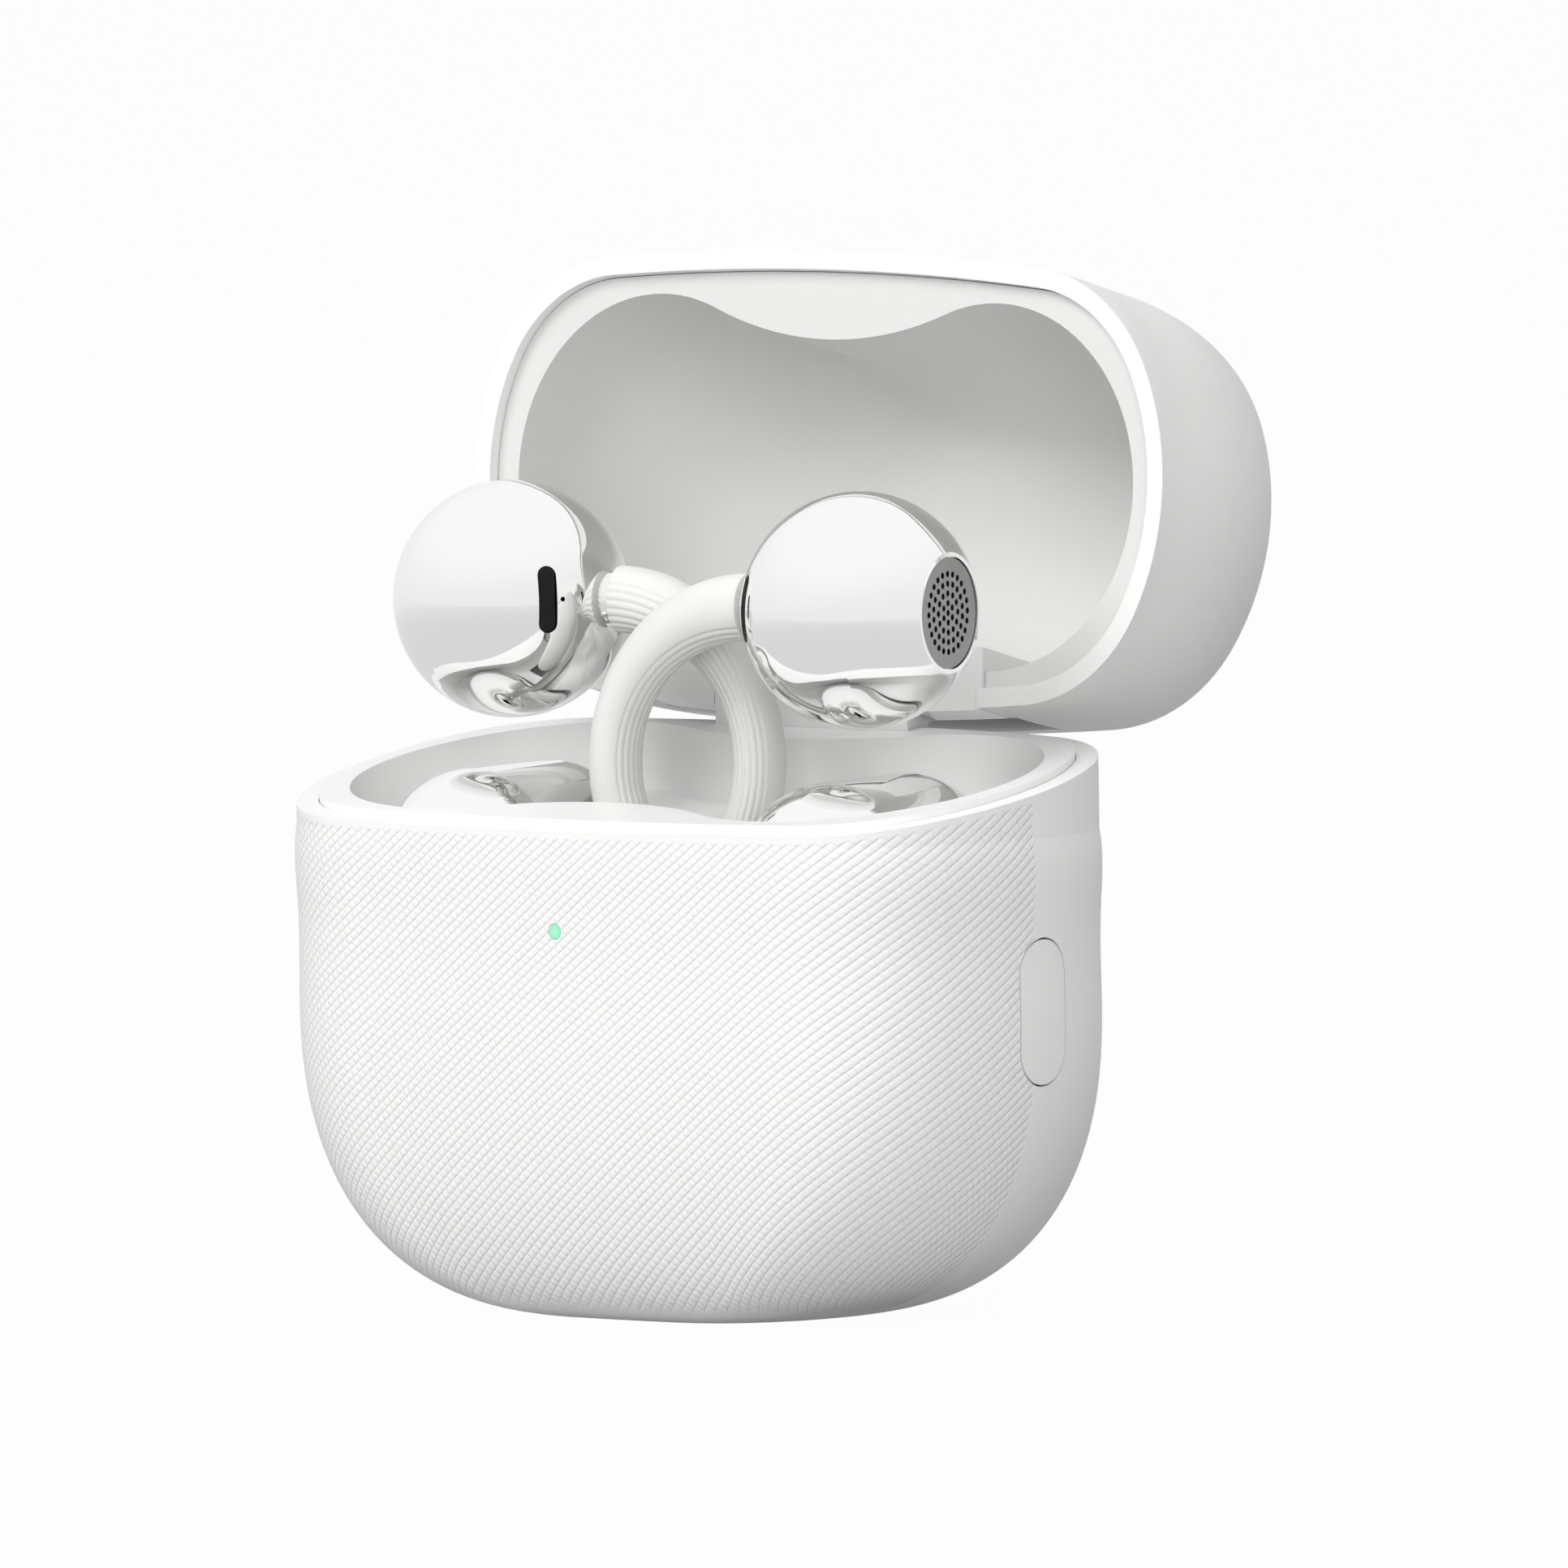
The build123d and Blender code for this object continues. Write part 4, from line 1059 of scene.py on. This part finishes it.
@dataclass(frozen=True)
class Lamp:
    """A soft area lamp that looks at the case."""

    name: str
    place: tuple[float, float, float]
    size: tuple[float, float]
    watts: float

    def build(self, target: Vector) -> None:
        """Hang the lamp and point it at the case.

        Args:
            target: the point it looks at, in metres.
        """
        data = bpy.data.lights.new(self.name, "AREA")
        data.shape = "RECTANGLE"
        data.size, data.size_y = self.size
        data.energy = self.watts
        lamp = bpy.data.objects.new(self.name, data)
        lamp.visible_glossy = False
        lamp.location = self.place
        lamp.rotation_euler = (target - lamp.location).to_track_quat("-Z", "Y").to_euler()
        bpy.context.scene.collection.objects.link(lamp)


@dataclass
class Studio:
    """Floor, lamps, sky and camera."""

    azimuth: float = 38.87
    elevation: float = 3.95
    roll: float = -0.866
    lens: float = 800.0
    sensor: float = 36.0
    view_width: float = 88.83
    aim: tuple[float, float, float] = (0.0, 0.0, RIM_HEIGHT)
    aim_shift: tuple[float, float] = (4.989, -0.322)
    view_range: tuple[float, float] = (0.05, 50.0)
    floor_size: float = 3.0
    floor_sides: int = 96
    floor_colour: Colour = (0.45, 0.45, 0.45)
    floor_glow: float = 0.975
    floor_near: float = 0.72
    floor_spread: tuple[float, float] = (0.02, 0.6)
    sky: float = 0.3
    dome_aim: tuple[float, float, float] = (-0.1, -0.05, 1.0)
    dome_spread: tuple[float, float] = (0.0, 0.75)
    dome_low: float = 0.89
    dome_high: float = 1.0
    lamps: Sequence[Lamp] = (
        Lamp("key_lamp", (-0.35, -0.75, 0.7), (0.7, 0.7), 7.7),
        Lamp("front_lamp", (0.7, -0.85, 0.35), (0.6, 0.6), 5.9),
        Lamp("top_lamp", (0.3, 0.2, 0.85), (0.8, 0.5), 2.4),
    )

    def axes(self) -> tuple[Vector, Vector, Vector]:
        """The camera's own directions.

        Returns:
            Its right, its up and its back, each of length one.
        """
        around, above, roll = (math.radians(v) for v in (self.azimuth, self.elevation, self.roll))
        right = Vector((math.cos(around), math.sin(around), 0))
        sine, cosine = math.sin(above), math.cos(above)
        up = Vector((-math.sin(around) * sine, math.cos(around) * sine, cosine))
        rolled = right * math.cos(roll) + up * math.sin(roll)
        lifted = up * math.cos(roll) - right * math.sin(roll)
        return rolled, lifted, rolled.cross(lifted)

    def camera(self) -> None:
        """Set up a long lens at the chosen angle."""
        right, up, back = self.axes()
        target = Vector(self.aim) + right * self.aim_shift[0] + up * self.aim_shift[1]
        distance = self.lens / self.sensor * self.view_width
        data = bpy.data.cameras.new("camera")
        data.lens = self.lens
        data.sensor_width = self.sensor
        data.clip_start, data.clip_end = self.view_range
        camera = bpy.data.objects.new("camera", data)
        turned = Matrix((right, up, back)).transposed().to_4x4()
        camera.matrix_world = Matrix.Translation((target + back * distance) * MM) @ turned
        bpy.context.scene.collection.objects.link(camera)
        bpy.context.scene.camera = camera

    def floor(self) -> None:
        """Lay a pale floor that keeps the case's shadow."""
        mesh = bmesh.new()
        bmesh.ops.create_circle(
            mesh, segments=self.floor_sides, radius=self.floor_size, cap_ends=True
        )
        data = bpy.data.meshes.new("floor")
        mesh.to_mesh(data)
        mesh.free()
        graph = Graph(bpy.data.materials.new("floor_white"))
        pale = graph.node("ShaderNodeBsdfDiffuse", None, {"Color": self.floor_colour})
        camera = graph.ray(Ray.CAMERA)
        # Painted shadow: in mirrors the floor glows dimmer near the case than far off, standing in
        # for the shade round the case.
        far = graph.distance().step(*self.floor_spread)
        mirrored = self.floor_near + far * (self.dome_low - self.floor_near)
        colour = graph.tint(camera + (1 - camera) * mirrored, NO_LIGHT, PURE_WHITE)
        glow = graph.node("ShaderNodeEmission", None, {"Color": colour, "Strength": 1.0})
        shown = graph.seen() * self.floor_glow
        layers = {0: shown, 1: pale.outputs[0], 2: glow.outputs[0]}
        mixed = graph.node("ShaderNodeMixShader", None, layers)
        graph.node("ShaderNodeOutputMaterial", None, {"Surface": mixed.outputs[0]})
        data.materials.append(graph.owner)
        floor = bpy.data.objects.new("floor", data)
        bpy.context.scene.collection.objects.link(floor)

    def world(self) -> None:
        """Make the sky white to the camera, a soft dome in mirrors and dimmer as a light."""
        world = bpy.data.worlds.new("studio")
        bpy.context.scene.world = world
        graph = Graph(world)
        mirrored = graph.ray(Ray.GLOSSY)
        towards = graph.node("ShaderNodeTexCoord").outputs["Generated"]
        facing = graph.node(
            "ShaderNodeVectorMath",
            {"operation": "DOT_PRODUCT"},
            {0: towards, 1: tuple(Vector(self.dome_aim).normalized())},
        )
        dome = Value(graph, facing.outputs["Value"]).step(*self.dome_spread)
        reflected = self.dome_low + dome * (self.dome_high - self.dome_low)
        seen = graph.seen()
        plain = seen + (1 - seen) * self.sky
        strength = mirrored * reflected + (1 - mirrored) * plain
        sky = graph.node("ShaderNodeBackground", None, {"Color": PURE_WHITE, "Strength": strength})
        graph.node("ShaderNodeOutputWorld", None, {"Surface": sky.outputs[0]})

    def build(self) -> None:
        """Set up the whole studio."""
        scene = bpy.context.scene
        scene.view_settings.view_transform = "Standard"
        self.camera()
        self.floor()
        self.world()
        for lamp in self.lamps:
            lamp.build(Vector(self.aim) * MM)


def main() -> None:
    """Load the frame, dress it, add the sleeves and set up the studio."""
    logging.basicConfig(level=logging.INFO, format="%(name)s: %(message)s")
    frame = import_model()
    workshop = Workshop(frame)
    BaseCase(workshop).build()
    HingedLid(workshop).build()
    for side in Side:
        ClipEarbud(workshop, side).build()
    Studio().build()


if __name__ == "__main__":
    main()
